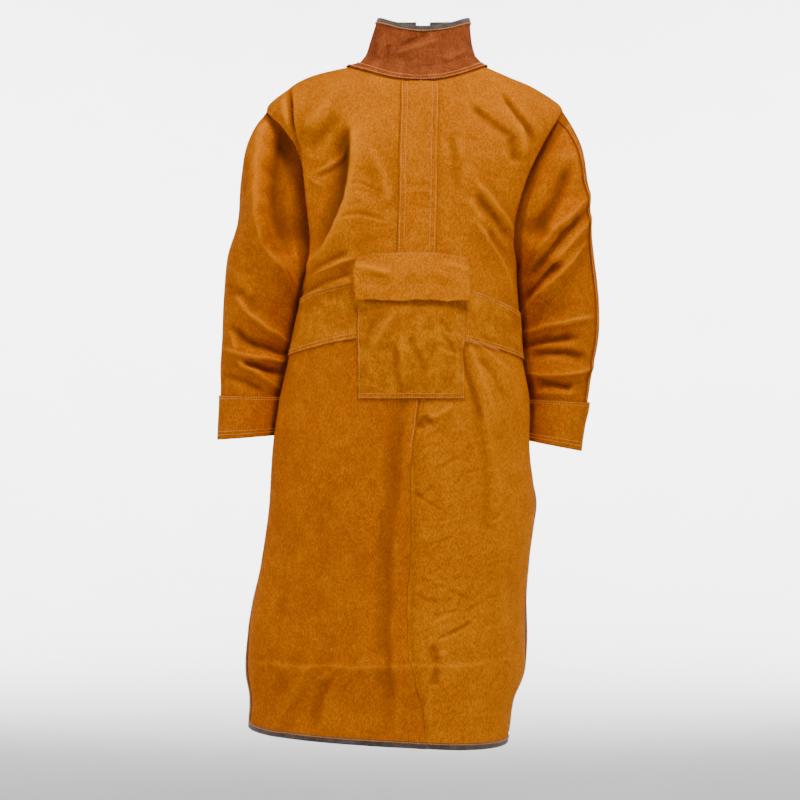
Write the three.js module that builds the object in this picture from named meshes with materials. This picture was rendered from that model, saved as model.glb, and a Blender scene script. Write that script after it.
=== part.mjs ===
// Sleeved leather welding apron in its worn form: an open-backed apron of split leather with a
// stand collar, set-in sleeves with cuffs, a waistband, a flapped patch pocket and a two-panel skirt.
//
// Millimetres, +Z up, and the front faces -Y. Left and right are as seen from the front, so left
// is -X. The origin is the middle of the neck opening, level with the top of the shoulders.

import * as THREE from "three";

// Leather, tape and clearances
const LEATHER = 2.0; // wall of the split leather
const LAP_GAP = 0.9; // clearance under a piece that is sewn over another
const SEAM_GAP = 0.6; // clearance between pieces that meet edge to edge
const OVER = LAP_GAP + LEATHER; // outer face of a piece sewn over one layer
const TAPE = 1.2; // binding tape
const TAPE_GAP = 0.5; // clearance between the tape and the leather in it
const TAPE_WIDTH = 9.5; // how far the tape reaches onto the leather
const TAPE_ROW = 11; // the leather is divided this far from a bound edge, just beyond the tape
const ARMHOLE_GAP = 1.2; // clearance between the sleeves and the armholes

// How finely the pieces are divided
const COLUMN_DEG = 9; // columns of the body's pieces, in degrees round the body
const FRONT_COLUMNS = 90 / COLUMN_DEG;
const SKIRT_COLUMNS = 15;
const BACK_COLUMNS = 6;
const SIDES = { left: -1, right: 1 };

const rad = THREE.MathUtils.degToRad;
const smooth = THREE.MathUtils.smoothstep;

// A table with named columns: each row becomes an object with those names.
function table(columns, ...rows) {
  return rows.map((row) => Object.fromEntries(columns.map((name, i) => [name, row[i]])));
}

// The body of the garment, ring by ring from the neck to the hem. A ring is an oval: its height in
// front, at the sides and behind, how far its right side is raised, where its front centre line lies,
// how far it reaches left, right, forward and back, and the angles of its two open back edges.
const OPEN = { left: "openLeft", right: "openRight" };
const OVAL = ["zFront", "zSide", "zBack", "tilt", "centre", "left", "right", "front", "back"];
const BODY_RINGS = table(
  ["ring", ...OVAL, ...Object.values(OPEN)],
  ["neck", -29, 3, 12, 0, 8, 101, 102, 84, 74, 171, 171],
  ["yoke", -62, -17, -20, 0, 6, 184, 147, 98, 92, 168, 168],
  ["shoulder", -98, -42, -62, 0, 5, 228, 203, 107, 104, 163, 163],
  ["shoulder_tip", -138, -79, -106, 0, 4, 262, 250, 114, 110, 160, 160],
  ["upper_chest", -182, -128, -152, 0, 3, 237, 241, 120, 114, 158, 158],
  ["chest", -242, -200, -222, 0, 0, 221, 212, 126, 116, 156, 156],
  ["lower_chest", -308, -285, -300, 0, -4, 206, 187, 134, 116, 150, 150],
  ["armpit", -350, -355, -365, -4, -6, 192, 179, 140, 115, 142, 142],
  ["band_top", -374, -413, -420, -12, -8, 189, 185, 143, 114, 135, 135],
  ["band_bottom", -468, -503, -508, -3, -6, 212, 189, 149, 116, 135, 135],
  ["hip", -560, -575, -578, 0, -4, 231, 199, 151, 120, 126, 122],
  ["thigh", -655, -660, -660, 0, -8, 239, 204, 153, 124, 116, 108],
  ["mid_skirt", -755, -755, -755, 0, -9, 244, 213, 155, 126, 108, 99],
  ["low_skirt", -850, -850, -850, 0, -10, 256, 204, 156, 126, 101, 96],
  ["knee", -945, -945, -945, 0, -11, 272, 196, 157, 126, 95, 94],
  ["crease", -1035, -1035, -1035, 0, -9, 278, 195, 160, 126, 93, 94],
  ["below_crease", -1088, -1088, -1088, -4, 4, 284, 162, 157, 124, 92, 95],
  ["hem", -1147, -1148, -1148, -11, 12, 296, 145, 159, 122, 91, 95],
);
const RING = Object.fromEntries(BODY_RINGS.map((row, i) => [row.ring, i]));
const zOnFront = (ring) => BODY_RINGS[RING[ring]].zFront;
const WAIST_JOINT = (RING.band_top + RING.band_bottom) / 2; // bodice meets skirt under the band

// The stand collar above the neck ring
const COLLAR_RINGS = table(
  ["ring", ...OVAL],
  ["foot", -21, 10, 19, 0, 8, 98, 97, 83, 73],
  ["lower", -4, 26, 35, 0, 8, 92, 91, 81, 72],
  ["middle", 22, 50, 57, 0, 10, 86, 85, 78, 70],
  ["rim", 55, 80, 86, 0, 13, 79, 79, 74, 67],
);
const FLANGE_REACH = 0.3; // how far the collar's sewn-on foot reaches, in body rings

// Each armhole is a hole in the body's side from the shoulder tip down to the armpit.
const ARMHOLE_HALF_DEG = 26; // half its width, in degrees round the body
const ARMPIT_Z = { left: -385, right: -340 };

// The sleeves, ring by ring from the armhole to the end of the cuff: the points of each ring
// nearest the body and furthest from it, and the ring's middle and half depth front to back.
const SLEEVE_COLUMNS = ["ring", "xIn", "zIn", "xOut", "zOut", "y", "depth"];
const SLEEVE_RINGS = {
  left: table(
    SLEEVE_COLUMNS,
    ["cap", -201, -396, -289, -138, 2, 64],
    ["upper_arm", -202, -408, -301, -199, 11, 74],
    ["mid_arm", -202, -421, -308, -265, 27, 79],
    ["above_elbow", -203, -437, -327, -327, 39, 80],
    ["elbow", -206, -456, -334, -396, 44, 78],
    ["below_elbow", -213, -483, -337, -464, 42, 74],
    ["forearm", -219, -519, -340, -516, 38, 68],
    ["low_forearm", -227, -550, -339, -550, 34, 62],
    ["cuff_top", -236, -576, -339, -575, 31, 58],
    ["cuff_end", -246, -635, -341, -643, 26, 55],
  ),
  right: table(
    SLEEVE_COLUMNS,
    ["cap", 178, -353, 285, -138, 2, 64],
    ["upper_arm", 174, -369, 296, -199, 11, 74],
    ["mid_arm", 173, -388, 301, -265, 27, 79],
    ["above_elbow", 173, -411, 310, -327, 39, 80],
    ["elbow", 178, -440, 318, -396, 44, 78],
    ["below_elbow", 180, -480, 318, -464, 42, 74],
    ["forearm", 183, -523, 306, -523, 38, 68],
    ["low_forearm", 190, -554, 301, -557, 34, 62],
    ["cuff_top", 197, -581, 296, -588, 31, 58],
    ["cuff_end", 198, -645, 284, -662, 26, 54],
  ),
};
const CUFF_TOP = 9; // sleeve ring where the cuff starts, counting the armhole as 0
const CUFF_END = 10;
const CUFF_LAP = 0.22; // how far the sleeve runs on inside the cuff, in rings

// Angles round a sleeve: 0 is furthest from the body, 90 the front, 180 nearest the body.
const SLEEVE_FRONT_DEG = [0, 14, 28, 45, 62, 80, 98, 116, 136, 158, 180];
const SLEEVE_BACK_DEG = SLEEVE_FRONT_DEG.map((deg) => 360 - deg).reverse();
const OVERARM_SEAM_DEG = { left: -28, right: 28 }; // the arms are turned, so one seam shows in front
const SLEEVE_STEPS = [0, 0.6, 1.2, 1.9, 2.6, 3.3, 4, 4.7, 5.4, 6.1, 7, 8];
const CUFF_STEPS = [CUFF_TOP - CUFF_LAP, CUFF_TOP + CUFF_LAP]; // from the cuff's top to the sleeve's end

const SEAM_DEG = 0.35; // half the clearance along a sleeve's seams

// Main folds, as seen from the front: a fold runs from (x1, z1) to (x2, z2), bowed sideways by bow,
// and stands out by height. It falls away over width1 on its left-hand side and width2 on the other.
const FOLDS = table(
  ["on", "x1", "z1", "x2", "z2", "bow", "width1", "width2", "height"],
  ["body", -109, -140, -186, -345, 26, 46, 20, 12], // left of the chest, a drape to the armpit
  ["body", -152, -165, -182, -320, 10, 22, 22, -9], // hollow between that drape and the arm
  ["body", -213, -60, -198, -175, 0, 14, 14, -12], // crease over the left armhole
  ["body", 100, -84, 184, -160, 0, 20, 20, -9], // drag lines from the right shoulder
  ["body", 108, -205, 160, -290, 0, 18, 26, 9],
  ["body", 112, -290, 164, -368, 0, 18, 26, 9],
  ["body", 190, -98, 176, -236, 0, 16, 16, -12], // crease over the right armhole
  ["body", -34, -620, -52, -1140, 0, 44, 40, -9], // hollow left of the skirt's seam
  ["body", -16, -600, -24, -1140, -6, 16, 20, 6], // ridge along the skirt's seam
  ["body", 100, -600, 142, -1000, 0, 40, 50, 8], // long fold on the right of the skirt
  ["body", -170, -640, -215, -1020, 0, 60, 60, 6], // soft swell on the left of the skirt
  ["left", -271, -132, -197, -396, -32, 18, 42, 12], // left sleeve, from the shoulder to the armpit
  ["left", -226, -150, -216, -345, 0, 28, 28, -14], // hollow inside that fold
  ["left", -267, -436, -226, -482, 0, 16, 16, 9], // folds at the left elbow
  ["left", -300, -478, -240, -494, 0, 17, 17, -9],
  ["left", -286, -518, -236, -556, 0, 15, 15, 8],
  ["right", 292, -228, 196, -392, 8, 34, 16, 12], // right sleeve, from the shoulder to the elbow
  ["right", 224, -175, 262, -262, 0, 30, 30, -12], // hollow above that fold
  ["right", 196, -470, 300, -480, -10, 16, 16, 8], // folds at the right elbow
  ["right", 212, -502, 290, -496, 0, 15, 15, -8],
);
const FOLD_END = 0.16; // share of a fold's length over which each end fades

// Centre strip, waist pieces and pocket, as seen from the front
const PLACKET = { width: 64, topX: 6, bottomX: 0, topZ: -46, bottomZ: -352, columns: 4, rows: 9 };
const POCKET = { middle: -9, width: 176, mouthZ: -392, bottomZ: -572, bulge: 10, columns: 8, rows: 8 };
const FLAP = { middle: -8, width: 186, topZ: -330, sideDrop: 9, bottomZ: -412, corner: 16, standOff: 9.5 };
const FLAP_COLUMNS = 12;
const FLAP_ROWS = 5;
const BACK_STRAP = { fromDeg: 126, toDeg: 234, half: 0.24, steps: 12 }; // half its height, in body rings
const COLLAR_TAB = { fromDeg: 158, toDeg: 202, low: 1.4, high: 2.3, steps: 5 };

// Suede in two dye lots, and the tape
const SUEDE = new THREE.MeshStandardMaterial({ color: 0xc4740c, roughness: 0.95, metalness: 0 });
const DARK_SUEDE = new THREE.MeshStandardMaterial({ color: 0xa85a14, roughness: 0.95, metalness: 0 });
const BINDING_TAPE = new THREE.MeshStandardMaterial({ color: 0x6f6a68, roughness: 0.9, metalness: 0 });

// The value of one column of a table at row v, on a smooth curve through the rows.
function along(rows, column, v) {
  const last = rows.length - 1;
  const i = Math.min(Math.max(Math.floor(v), 0), last - 1);
  const at = (k) => {
    if (k < 0) return 2 * rows[0][column] - rows[1][column];
    if (k > last) return 2 * rows[last][column] - rows[last - 1][column];
    return rows[k][column];
  };
  return throughFour(at(i - 1), at(i), at(i + 1), at(i + 2), v - i);
}

// A smooth curve from b to c at t, with a and d the values before and after them.
function throughFour(a, b, c, d, t) {
  const bend = 2 * a - 5 * b + 4 * c - d;
  const twist = 3 * b - a - 3 * c + d;
  return 0.5 * (2 * b + (c - a) * t + bend * t ** 2 + twist * t ** 3);
}

// A point of an oval ring, deg round from the front towards the right.
function ringPoint(rows, deg, v) {
  const value = (column) => along(rows, column, v);
  const c = Math.cos(rad(deg));
  const s = Math.sin(rad(deg));
  const ahead = c >= 0;
  const zSide = value("zSide");
  const zEnd = value(ahead ? "zFront" : "zBack");
  return new THREE.Vector3(
    value("centre") + value(s < 0 ? "left" : "right") * s,
    -value(ahead ? "front" : "back") * c,
    zSide + (zEnd - zSide) * c ** 2 + value("tilt") * s,
  );
}

// How far the folds of one part of the garment stand out at a place seen from the front.
function foldHeight(on, x, z) {
  let height = 0;
  for (const fold of FOLDS) {
    if (fold.on !== on) continue;
    const dx = fold.x2 - fold.x1;
    const dz = fold.z2 - fold.z1;
    const length = Math.hypot(dx, dz);
    const t = ((x - fold.x1) * dx + (z - fold.z1) * dz) / length ** 2;
    const within = THREE.MathUtils.clamp(t, 0, 1);
    const aside = ((z - fold.z1) * dx - (x - fold.x1) * dz) / length - fold.bow * 4 * within * (1 - within);
    const width = aside > 0 ? fold.width1 : fold.width2;
    const ends = smooth(t, -FOLD_END, FOLD_END) * (1 - smooth(t, 1 - FOLD_END, 1 + FOLD_END));
    height += fold.height * Math.exp(-((aside / width) ** 2)) * ends;
  }
  return height;
}

// The outward direction of a surface given by a function of two parameters.
function normalOf(point, a, b, stepA, stepB) {
  const acrossA = point(a + stepA, b).sub(point(a - stepA, b));
  const acrossB = point(a, b + stepB).sub(point(a, b - stepB));
  return acrossA.cross(acrossB).normalize();
}

// A smooth surface with its folds: the point and outward direction at each pair of parameters.
function folded(point, on, stepA, stepB, turn) {
  const raised = (a, b) => {
    const p = point(a, b);
    const n = normalOf(point, a, b, stepA, stepB).multiplyScalar(turn);
    const facing = Math.max(-n.y, 0);
    return p.addScaledVector(n, foldHeight(on, p.x, p.z) * facing);
  };
  return (a, b) => ({
    p: raised(a, b),
    n: normalOf(raised, a, b, stepA, stepB).multiplyScalar(turn),
  });
}

const body = folded((deg, v) => ringPoint(BODY_RINGS, deg, v), "body", 1, 0.05, -1);

// The row of a table at which a column has a value, for a column that falls all the way down.
function rowWhere(rows, column, value) {
  let low = 0;
  let high = rows.length - 1;
  for (let i = 0; i < 40; i++) {
    const mid = (low + high) / 2;
    if (along(rows, column, mid) > value) low = mid;
    else high = mid;
  }
  return low;
}

// Where a sleeve's angle meets the armhole, as an angle round the body and a row of its rings.
function armhole(side, deg) {
  const top = RING.shoulder_tip;
  const pit = rowWhere(BODY_RINGS, "zSide", ARMPIT_Z[side]);
  return {
    deg: SIDES[side] * (90 - ARMHOLE_HALF_DEG * Math.sin(rad(deg))),
    v: (top + pit) / 2 - ((pit - top) / 2) * Math.cos(rad(deg)),
  };
}

// A point of a sleeve: ring 0 is the armhole, and the others are ovals.
function sleeveRingPoint(side, deg, ring) {
  if (ring <= 0) {
    const hole = armhole(side, deg);
    return ringPoint(BODY_RINGS, hole.deg, hole.v);
  }
  const row = SLEEVE_RINGS[side][Math.min(ring, CUFF_END) - 1];
  const out = (1 + Math.cos(rad(deg))) / 2;
  return new THREE.Vector3(
    THREE.MathUtils.lerp(row.xIn, row.xOut, out),
    row.y - row.depth * Math.sin(rad(deg)),
    THREE.MathUtils.lerp(row.zIn, row.zOut, out),
  );
}

function sleevePoint(side, deg, k) {
  const i = Math.min(Math.max(Math.floor(k), 0), CUFF_END - 1);
  const at = (ring) => sleeveRingPoint(side, deg, ring);
  const [b, c] = [at(i), at(i + 1)];
  const a = i > 0 ? at(i - 1) : b.clone().multiplyScalar(2).sub(c);
  const d = i + 2 <= CUFF_END ? at(i + 2) : c.clone().multiplyScalar(2).sub(b);
  const value = (axis) => throughFour(a[axis], b[axis], c[axis], d[axis], k - i);
  return new THREE.Vector3(value("x"), value("y"), value("z"));
}

const sleeve = Object.fromEntries(
  Object.entries(SIDES).map(([side, sign]) => [
    side,
    folded((deg, k) => sleevePoint(side, deg, k), side, 1, 0.04, sign),
  ]),
);

// The body's angle and row at a place of its front, found by stepping towards that place.
function onFront(x, z) {
  const spot = { deg: 0, v: rowWhere(BODY_RINGS, "zFront", z) };
  for (let i = 0; i < 30; i++) {
    const p = ringPoint(BODY_RINGS, spot.deg, spot.v);
    const below = ringPoint(BODY_RINGS, spot.deg, spot.v + 0.1);
    const half = along(BODY_RINGS, x < p.x ? "left" : "right", spot.v);
    spot.deg += THREE.MathUtils.radToDeg((x - p.x) / half) * 0.8;
    spot.v += ((z - p.z) / (below.z - p.z)) * 0.1;
  }
  return body(spot.deg, spot.v);
}

// A closed wall between two heights above a grid of surface points, each a number or a function.
function sheet(grid, outer, inner) {
  const rows = grid.length;
  const columns = grid[0].length;
  const position = [];
  const index = [];
  const height = (h, i, j) => (typeof h === "function" ? h(i / (rows - 1), j / (columns - 1)) : h);
  for (const h of [outer, inner]) {
    grid.forEach((row, i) =>
      row.forEach(({ p, n }, j) => position.push(...p.clone().addScaledVector(n, height(h, i, j)).toArray())),
    );
  }
  const at = (layer, i, j) => layer * rows * columns + i * columns + j;
  const quad = (a, b, c, d) => index.push(a, b, c, a, c, d);
  for (let i = 0; i + 1 < rows; i++) {
    for (let j = 0; j + 1 < columns; j++) {
      quad(at(0, i, j), at(0, i + 1, j), at(0, i + 1, j + 1), at(0, i, j + 1));
      quad(at(1, i, j), at(1, i, j + 1), at(1, i + 1, j + 1), at(1, i + 1, j));
    }
  }
  const rim = [];
  for (let j = 0; j < columns; j++) rim.push([0, j]);
  for (let i = 1; i < rows; i++) rim.push([i, columns - 1]);
  for (let j = columns - 2; j >= 0; j--) rim.push([rows - 1, j]);
  for (let i = rows - 2; i > 0; i--) rim.push([i, 0]);
  rim.forEach(([i, j], k) => {
    const [ni, nj] = rim[(k + 1) % rim.length];
    quad(at(0, i, j), at(0, ni, nj), at(1, ni, nj), at(1, i, j));
  });
  return closed(position, index);
}

// A closed wall that goes all the way round: the grid's last column joins its first.
function ringSheet(grid, outer, inner) {
  const rows = grid.length;
  const columns = grid[0].length;
  const position = [];
  const index = [];
  for (const h of [outer, inner]) {
    for (const { p, n } of grid.flat()) position.push(...p.clone().addScaledVector(n, h).toArray());
  }
  const at = (layer, i, j) => layer * rows * columns + i * columns + (j % columns);
  const quad = (a, b, c, d) => index.push(a, b, c, a, c, d);
  for (let j = 0; j < columns; j++) {
    for (let i = 0; i + 1 < rows; i++) {
      quad(at(0, i, j), at(0, i + 1, j), at(0, i + 1, j + 1), at(0, i, j + 1));
      quad(at(1, i, j), at(1, i, j + 1), at(1, i + 1, j + 1), at(1, i + 1, j));
    }
    quad(at(0, 0, j), at(0, 0, j + 1), at(1, 0, j + 1), at(1, 0, j));
    quad(at(0, rows - 1, j), at(1, rows - 1, j), at(1, rows - 1, j + 1), at(0, rows - 1, j + 1));
  }
  return closed(position, index);
}

// Binding tape folded over an edge. Each station is the edge's point, the leather's outward
// direction there, and the direction in which the leather would run on.
function binding(stations) {
  const low = -LEATHER - TAPE_GAP;
  const profile = [
    [-TAPE_WIDTH, TAPE_GAP + TAPE],
    [TAPE_GAP + TAPE, TAPE_GAP + TAPE],
    [TAPE_GAP + TAPE, low - TAPE],
    [-TAPE_WIDTH, low - TAPE],
    [-TAPE_WIDTH, low],
    [TAPE_GAP, low],
    [TAPE_GAP, TAPE_GAP],
    [-TAPE_WIDTH, TAPE_GAP],
  ];
  const count = profile.length;
  const position = [];
  const index = [];
  for (const { p, n, away } of stations) {
    for (const [out, up] of profile) {
      position.push(...p.clone().addScaledVector(away, out).addScaledVector(n, up).toArray());
    }
  }
  const quad = (a, b, c, d) => index.push(a, b, c, a, c, d);
  for (let i = 0; i + 1 < stations.length; i++) {
    for (let k = 0; k < count; k++) {
      const next = (k + 1) % count;
      const here = i * count;
      const there = here + count;
      if (k === 2 || k === 6) quad(here + next, there + next, there + k, here + k);
      else quad(here + k, here + next, there + next, there + k);
    }
  }
  const end = (stations.length - 1) * count;
  const cap = [[0, 1, 6, 7], [1, 2, 5, 6], [2, 3, 4, 5]];
  for (const [a, b, c, d] of cap) {
    quad(d, c, b, a);
    quad(end + a, end + b, end + c, end + d);
  }
  return closed(position, index);
}

// A geometry from its corners and triangles, turned so that its faces point out.
function closed(position, index) {
  const corner = (k) => new THREE.Vector3().fromArray(position, 3 * k);
  let volume = 0;
  for (let i = 0; i < index.length; i += 3) {
    volume += corner(index[i]).dot(corner(index[i + 1]).cross(corner(index[i + 2])));
  }
  if (volume < 0) index.reverse();
  const geometry = new THREE.BufferGeometry();
  geometry.setAttribute("position", new THREE.Float32BufferAttribute(position, 3));
  geometry.setIndex(index);
  geometry.computeVertexNormals();
  return geometry;
}

// count + 1 evenly spaced values from one number to another.
function steps(from, to, count) {
  return Array.from({ length: count + 1 }, (_, i) => from + ((to - from) * i) / count);
}

// The stations of a binding along one edge of a grid: the edge's points and those next to them.
function edgeStations(edge, inside) {
  return edge.map(({ p, n }, i) => ({ p, n, away: p.clone().sub(inside[i].p).normalize() }));
}

const apron = new THREE.Group();

function add(name, geometry, material) {
  const mesh = new THREE.Mesh(geometry, material);
  mesh.name = name;
  apron.add(mesh);
}

// Rows of a bodice panel from the neck to the waist joint, with the sleeve angle where it has one.
function bodiceRows(side) {
  const pit = armhole(side, 180).v;
  return [
    ...steps(0, RING.shoulder_tip, 4).slice(0, -1).map((v) => ({ v })),
    ...SLEEVE_FRONT_DEG.map((deg) => ({ v: armhole(side, deg).v, deg })),
    ...steps(pit, WAIST_JOINT, 3).slice(1).map((v) => ({ v })),
  ];
}

// The angle in degrees that a clearance takes up at a distance from the middle.
const clearanceDeg = (clearance, distance) => THREE.MathUtils.radToDeg(clearance / distance);

// Half of the bodice's front, from the centre to the shoulder seam, armhole and side seam.
function frontPanel(side) {
  const sign = SIDES[side];
  const grid = bodiceRows(side).map(({ v, deg }) => {
    const half = along(BODY_RINGS, side, v);
    const hole = deg === undefined ? 0 : ARMHOLE_HALF_DEG * Math.sin(rad(deg));
    const from = clearanceDeg(SEAM_GAP / 2, half);
    const to = 90 - hole - clearanceDeg(hole ? ARMHOLE_GAP : SEAM_GAP / 2, along(BODY_RINGS, "front", v));
    return steps(from, to, FRONT_COLUMNS).map((d) => body(sign * d, v - jointTrim(v)));
  });
  add(`front_panel_${side}`, sheet(grid, 0, -LEATHER), SUEDE);
}

// The bodice stops just short of the skirt at the waist joint.
function jointTrim(v) {
  return v === WAIST_JOINT ? 0.005 : 0;
}

// Angles from one place round to the open edge, with one more where that edge's tape ends.
function openColumns(side, v, from, count) {
  const to = along(BODY_RINGS, OPEN[side], v);
  const at = (deg) => ringPoint(BODY_RINGS, SIDES[side] * deg, v);
  const tape = TAPE_ROW / at(to).distanceTo(at(to - 1));
  return [...steps(from, to - tape, count), to];
}

// Half of the back, from the shoulder seam, armhole and side seam to the open edge.
function backPanel(side) {
  const sign = SIDES[side];
  const grid = bodiceRows(side).map(({ v, deg }) => {
    const hole = deg === undefined ? 0 : ARMHOLE_HALF_DEG * Math.sin(rad(deg));
    const from = 90 + hole + clearanceDeg(SEAM_GAP / 2, along(BODY_RINGS, "back", v));
    return openColumns(side, v, from, BACK_COLUMNS).map((d) => body(sign * d, v - jointTrim(v)));
  });
  add(`back_panel_${side}`, sheet(grid, 0, -LEATHER), SUEDE);
  const bound = grid.filter((_, i) => i > 0 && i < grid.length - 3);
  const edge = bound.map((row) => row.at(-1));
  const inside = bound.map((row) => row.at(-2));
  add(`back_binding_${side}`, binding(edgeStations(edge, inside)), BINDING_TAPE);
}

// A sleeve's front and back panels, which meet along the overarm and underarm seams, and its cuff.
function sleevePanels(side) {
  const surface = sleeve[side];
  const seam = OVERARM_SEAM_DEG[side];
  const around = (angles) =>
    [...SLEEVE_STEPS, ...CUFF_STEPS].map((step) =>
      angles.map((deg, j) => {
        const start = sleevePoint(side, deg, 0).distanceTo(sleevePoint(side, deg, 0.1)) / 0.1;
        const inward = j === 0 ? 1 : j === angles.length - 1 ? -1 : 0;
        return surface(deg + inward * SEAM_DEG, Math.max(step, ARMHOLE_GAP / start));
      }),
    );
  const all = [...SLEEVE_FRONT_DEG, ...SLEEVE_BACK_DEG.slice(1)];
  const turned = [...all.slice(0, -1).map((deg) => deg - 360), ...all];
  const front = turned.filter((deg) => deg >= seam && deg <= 180);
  const back = turned.filter((deg) => deg >= -180 && deg <= seam);
  add(`sleeve_front_${side}`, sheet(around(front), 0, -LEATHER), SUEDE);
  add(`sleeve_back_${side}`, sheet(around(back), 0, -LEATHER), SUEDE);
  const levels = [CUFF_STEPS[0], ...steps(CUFF_STEPS[1], CUFF_END, 2)];
  const cuff = levels.map((k) => all.slice(0, -1).map((deg) => surface(deg, k)));
  add(`cuff_${side}`, ringSheet(cuff, OVER, LAP_GAP), SUEDE);
}

// One skirt panel from the waist joint to the hem, with tape down its open edge.
function skirtPanel(side) {
  const sign = SIDES[side];
  const hemTape = RING.hem - TAPE_ROW / (zOnFront("below_crease") - zOnFront("hem"));
  const levels = [WAIST_JOINT + 0.005, RING.band_bottom, ...steps(RING.hip, hemTape, 7), RING.hem];
  const grid = levels.map((v) => {
    const from = clearanceDeg(SEAM_GAP / 2, along(BODY_RINGS, side, v));
    return openColumns(side, v, from, SKIRT_COLUMNS).map((d) => body(sign * d, v));
  });
  add(`skirt_${side}`, sheet(grid, 0, -LEATHER), SUEDE);
  const bound = grid.slice(2, -1);
  const edge = bound.map((row) => row.at(-1));
  const inside = bound.map((row) => row.at(-2));
  add(`side_binding_${side}`, binding(edgeStations(edge, inside)), BINDING_TAPE);
  return { foot: grid.at(-1), above: grid.at(-2) };
}

function skirt() {
  const left = skirtPanel("left");
  const right = skirtPanel("right");
  const edge = [...left.foot.toReversed(), ...right.foot];
  const inside = [...left.above.toReversed(), ...right.above];
  add("hem_binding", binding(edgeStations(edge, inside)), BINDING_TAPE);
}

// The band sewn over the joint of bodice and skirt.
function waistband() {
  const half = (side, v) => openColumns(side, v, 0, SKIRT_COLUMNS).map((deg) => SIDES[side] * deg);
  const grid = steps(RING.band_top, RING.band_bottom, 4).map((v) =>
    [...half("left", v).reverse(), ...half("right", v).slice(1)].map((deg) => body(deg, v)),
  );
  add("waistband", sheet(grid, OVER, LAP_GAP), SUEDE);
}

// The strip sewn down the middle of the chest.
function placket() {
  const { width, topX, bottomX, topZ, bottomZ, columns, rows } = PLACKET;
  const grid = steps(0, 1, rows).map((t) => {
    const middle = THREE.MathUtils.lerp(topX, bottomX, t);
    const z = THREE.MathUtils.lerp(topZ, bottomZ, t);
    return steps(middle - width / 2, middle + width / 2, columns).map((x) => onFront(x, z));
  });
  add("front_placket", sheet(grid, OVER, LAP_GAP), SUEDE);
}

// The patch pocket: sewn at its sides and bottom, and bulged so that its mouth stands open.
function pocket() {
  const { middle, width, mouthZ, bottomZ, bulge, columns, rows } = POCKET;
  const grid = steps(mouthZ, bottomZ, rows).map((z) =>
    steps(middle - width / 2, middle + width / 2, columns).map((x) => onFront(x, z)),
  );
  const bandEnd = (zOnFront("band_bottom") - mouthZ) / (bottomZ - mouthZ);
  const rest = (down, across) => {
    const overBand = (1 - smooth(down, bandEnd + 0.05, bandEnd + 0.16)) * OVER;
    const swell = Math.sin(Math.PI * across) ** 0.8 * Math.sin(Math.PI * (0.35 + 0.65 * down)) ** 0.8;
    return LAP_GAP + overBand + bulge * swell;
  };
  add("pocket", sheet(grid, (d, a) => rest(d, a) + LEATHER, rest), SUEDE);
}

// The flap: sewn along its top above the pocket, rounded at its lower corners.
function pocketFlap() {
  const { middle, width, topZ, sideDrop, bottomZ, corner, standOff } = FLAP;
  const grid = steps(0, 1, FLAP_ROWS).map((down) =>
    steps(-1, 1, FLAP_COLUMNS).map((across) => {
      const top = topZ - sideDrop * Math.abs(across) ** 3;
      const round = Math.max(Math.abs(across) * (width / 2) - (width / 2 - corner), 0);
      const bottom = bottomZ + corner - Math.sqrt(Math.max(corner ** 2 - round ** 2, 0));
      return onFront(middle + (across * width) / 2, THREE.MathUtils.lerp(top, bottom, down));
    }),
  );
  const bandStart = (zOnFront("band_top") - topZ) / (bottomZ - topZ);
  const rest = (down) => {
    const overBand = smooth(down, bandStart - 0.5, bandStart - 0.06) * OVER;
    return LAP_GAP + OVER + overBand + standOff * smooth(down, 0.05, 0.9);
  };
  add("pocket_flap", sheet(grid, (d) => rest(d) + LEATHER, rest), SUEDE);
}

// The collar: its foot is sewn over the neck edge, and it stands open behind under a tab.
function collar() {
  const round = steps(-BODY_RINGS[0].openLeft, BODY_RINGS[0].openRight, 38);
  const foot = steps(FLANGE_REACH, 0.04, 1).map((v) =>
    round.map((deg) => {
      const { p, n } = body(deg, v);
      return p.addScaledVector(n, OVER);
    }),
  );
  const wall = steps(0.5, COLLAR_RINGS.length - 1, 3).map((v) =>
    round.map((deg) => ringPoint(COLLAR_RINGS, deg, v)),
  );
  const grid = withNormals([...foot, ...wall]);
  add("collar", sheet(grid, 0, -LEATHER), DARK_SUEDE);
  const rim = edgeStations(grid.at(-1), grid.at(-2));
  add("collar_binding", binding(rim), BINDING_TAPE);
  const { fromDeg, toDeg, low, high, steps: count } = COLLAR_TAB;
  const tab = withNormals(
    steps(low, high, 2).map((v) =>
      steps(fromDeg, toDeg, count).map((deg) => ringPoint(COLLAR_RINGS, deg, v)),
    ),
  );
  add("collar_tab", sheet(tab, OVER, LAP_GAP), DARK_SUEDE);
}

// Outward directions for a grid of points whose rows run up and whose columns run anticlockwise.
function withNormals(points) {
  const rows = points.length - 1;
  const columns = points[0].length - 1;
  return points.map((row, i) =>
    row.map((p, j) => {
      const across = row[Math.min(j + 1, columns)].clone().sub(row[Math.max(j - 1, 0)]);
      const up = points[Math.min(i + 1, rows)][j].clone().sub(points[Math.max(i - 1, 0)][j]);
      return { p, n: across.cross(up).normalize() };
    }),
  );
}

// One plain strap that closes the open back at the waist.
function backStrap() {
  const { fromDeg, toDeg, half, steps: count } = BACK_STRAP;
  const grid = steps(WAIST_JOINT - half, WAIST_JOINT + half, 2).map((v) =>
    steps(fromDeg, toDeg, count).map((deg) => body(deg, v)),
  );
  add("back_strap", sheet(grid, OVER + OVER, OVER + LAP_GAP), SUEDE);
}

collar();
for (const side of Object.keys(SIDES)) {
  frontPanel(side);
  backPanel(side);
  sleevePanels(side);
}
placket();
waistband();
skirt();
pocket();
pocketFlap();
backStrap();

export default apron;
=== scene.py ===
"""Looks of the sleeved leather welding apron: suede panels with folds, seams, stitches and bound edges."""
import functools
import math

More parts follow.
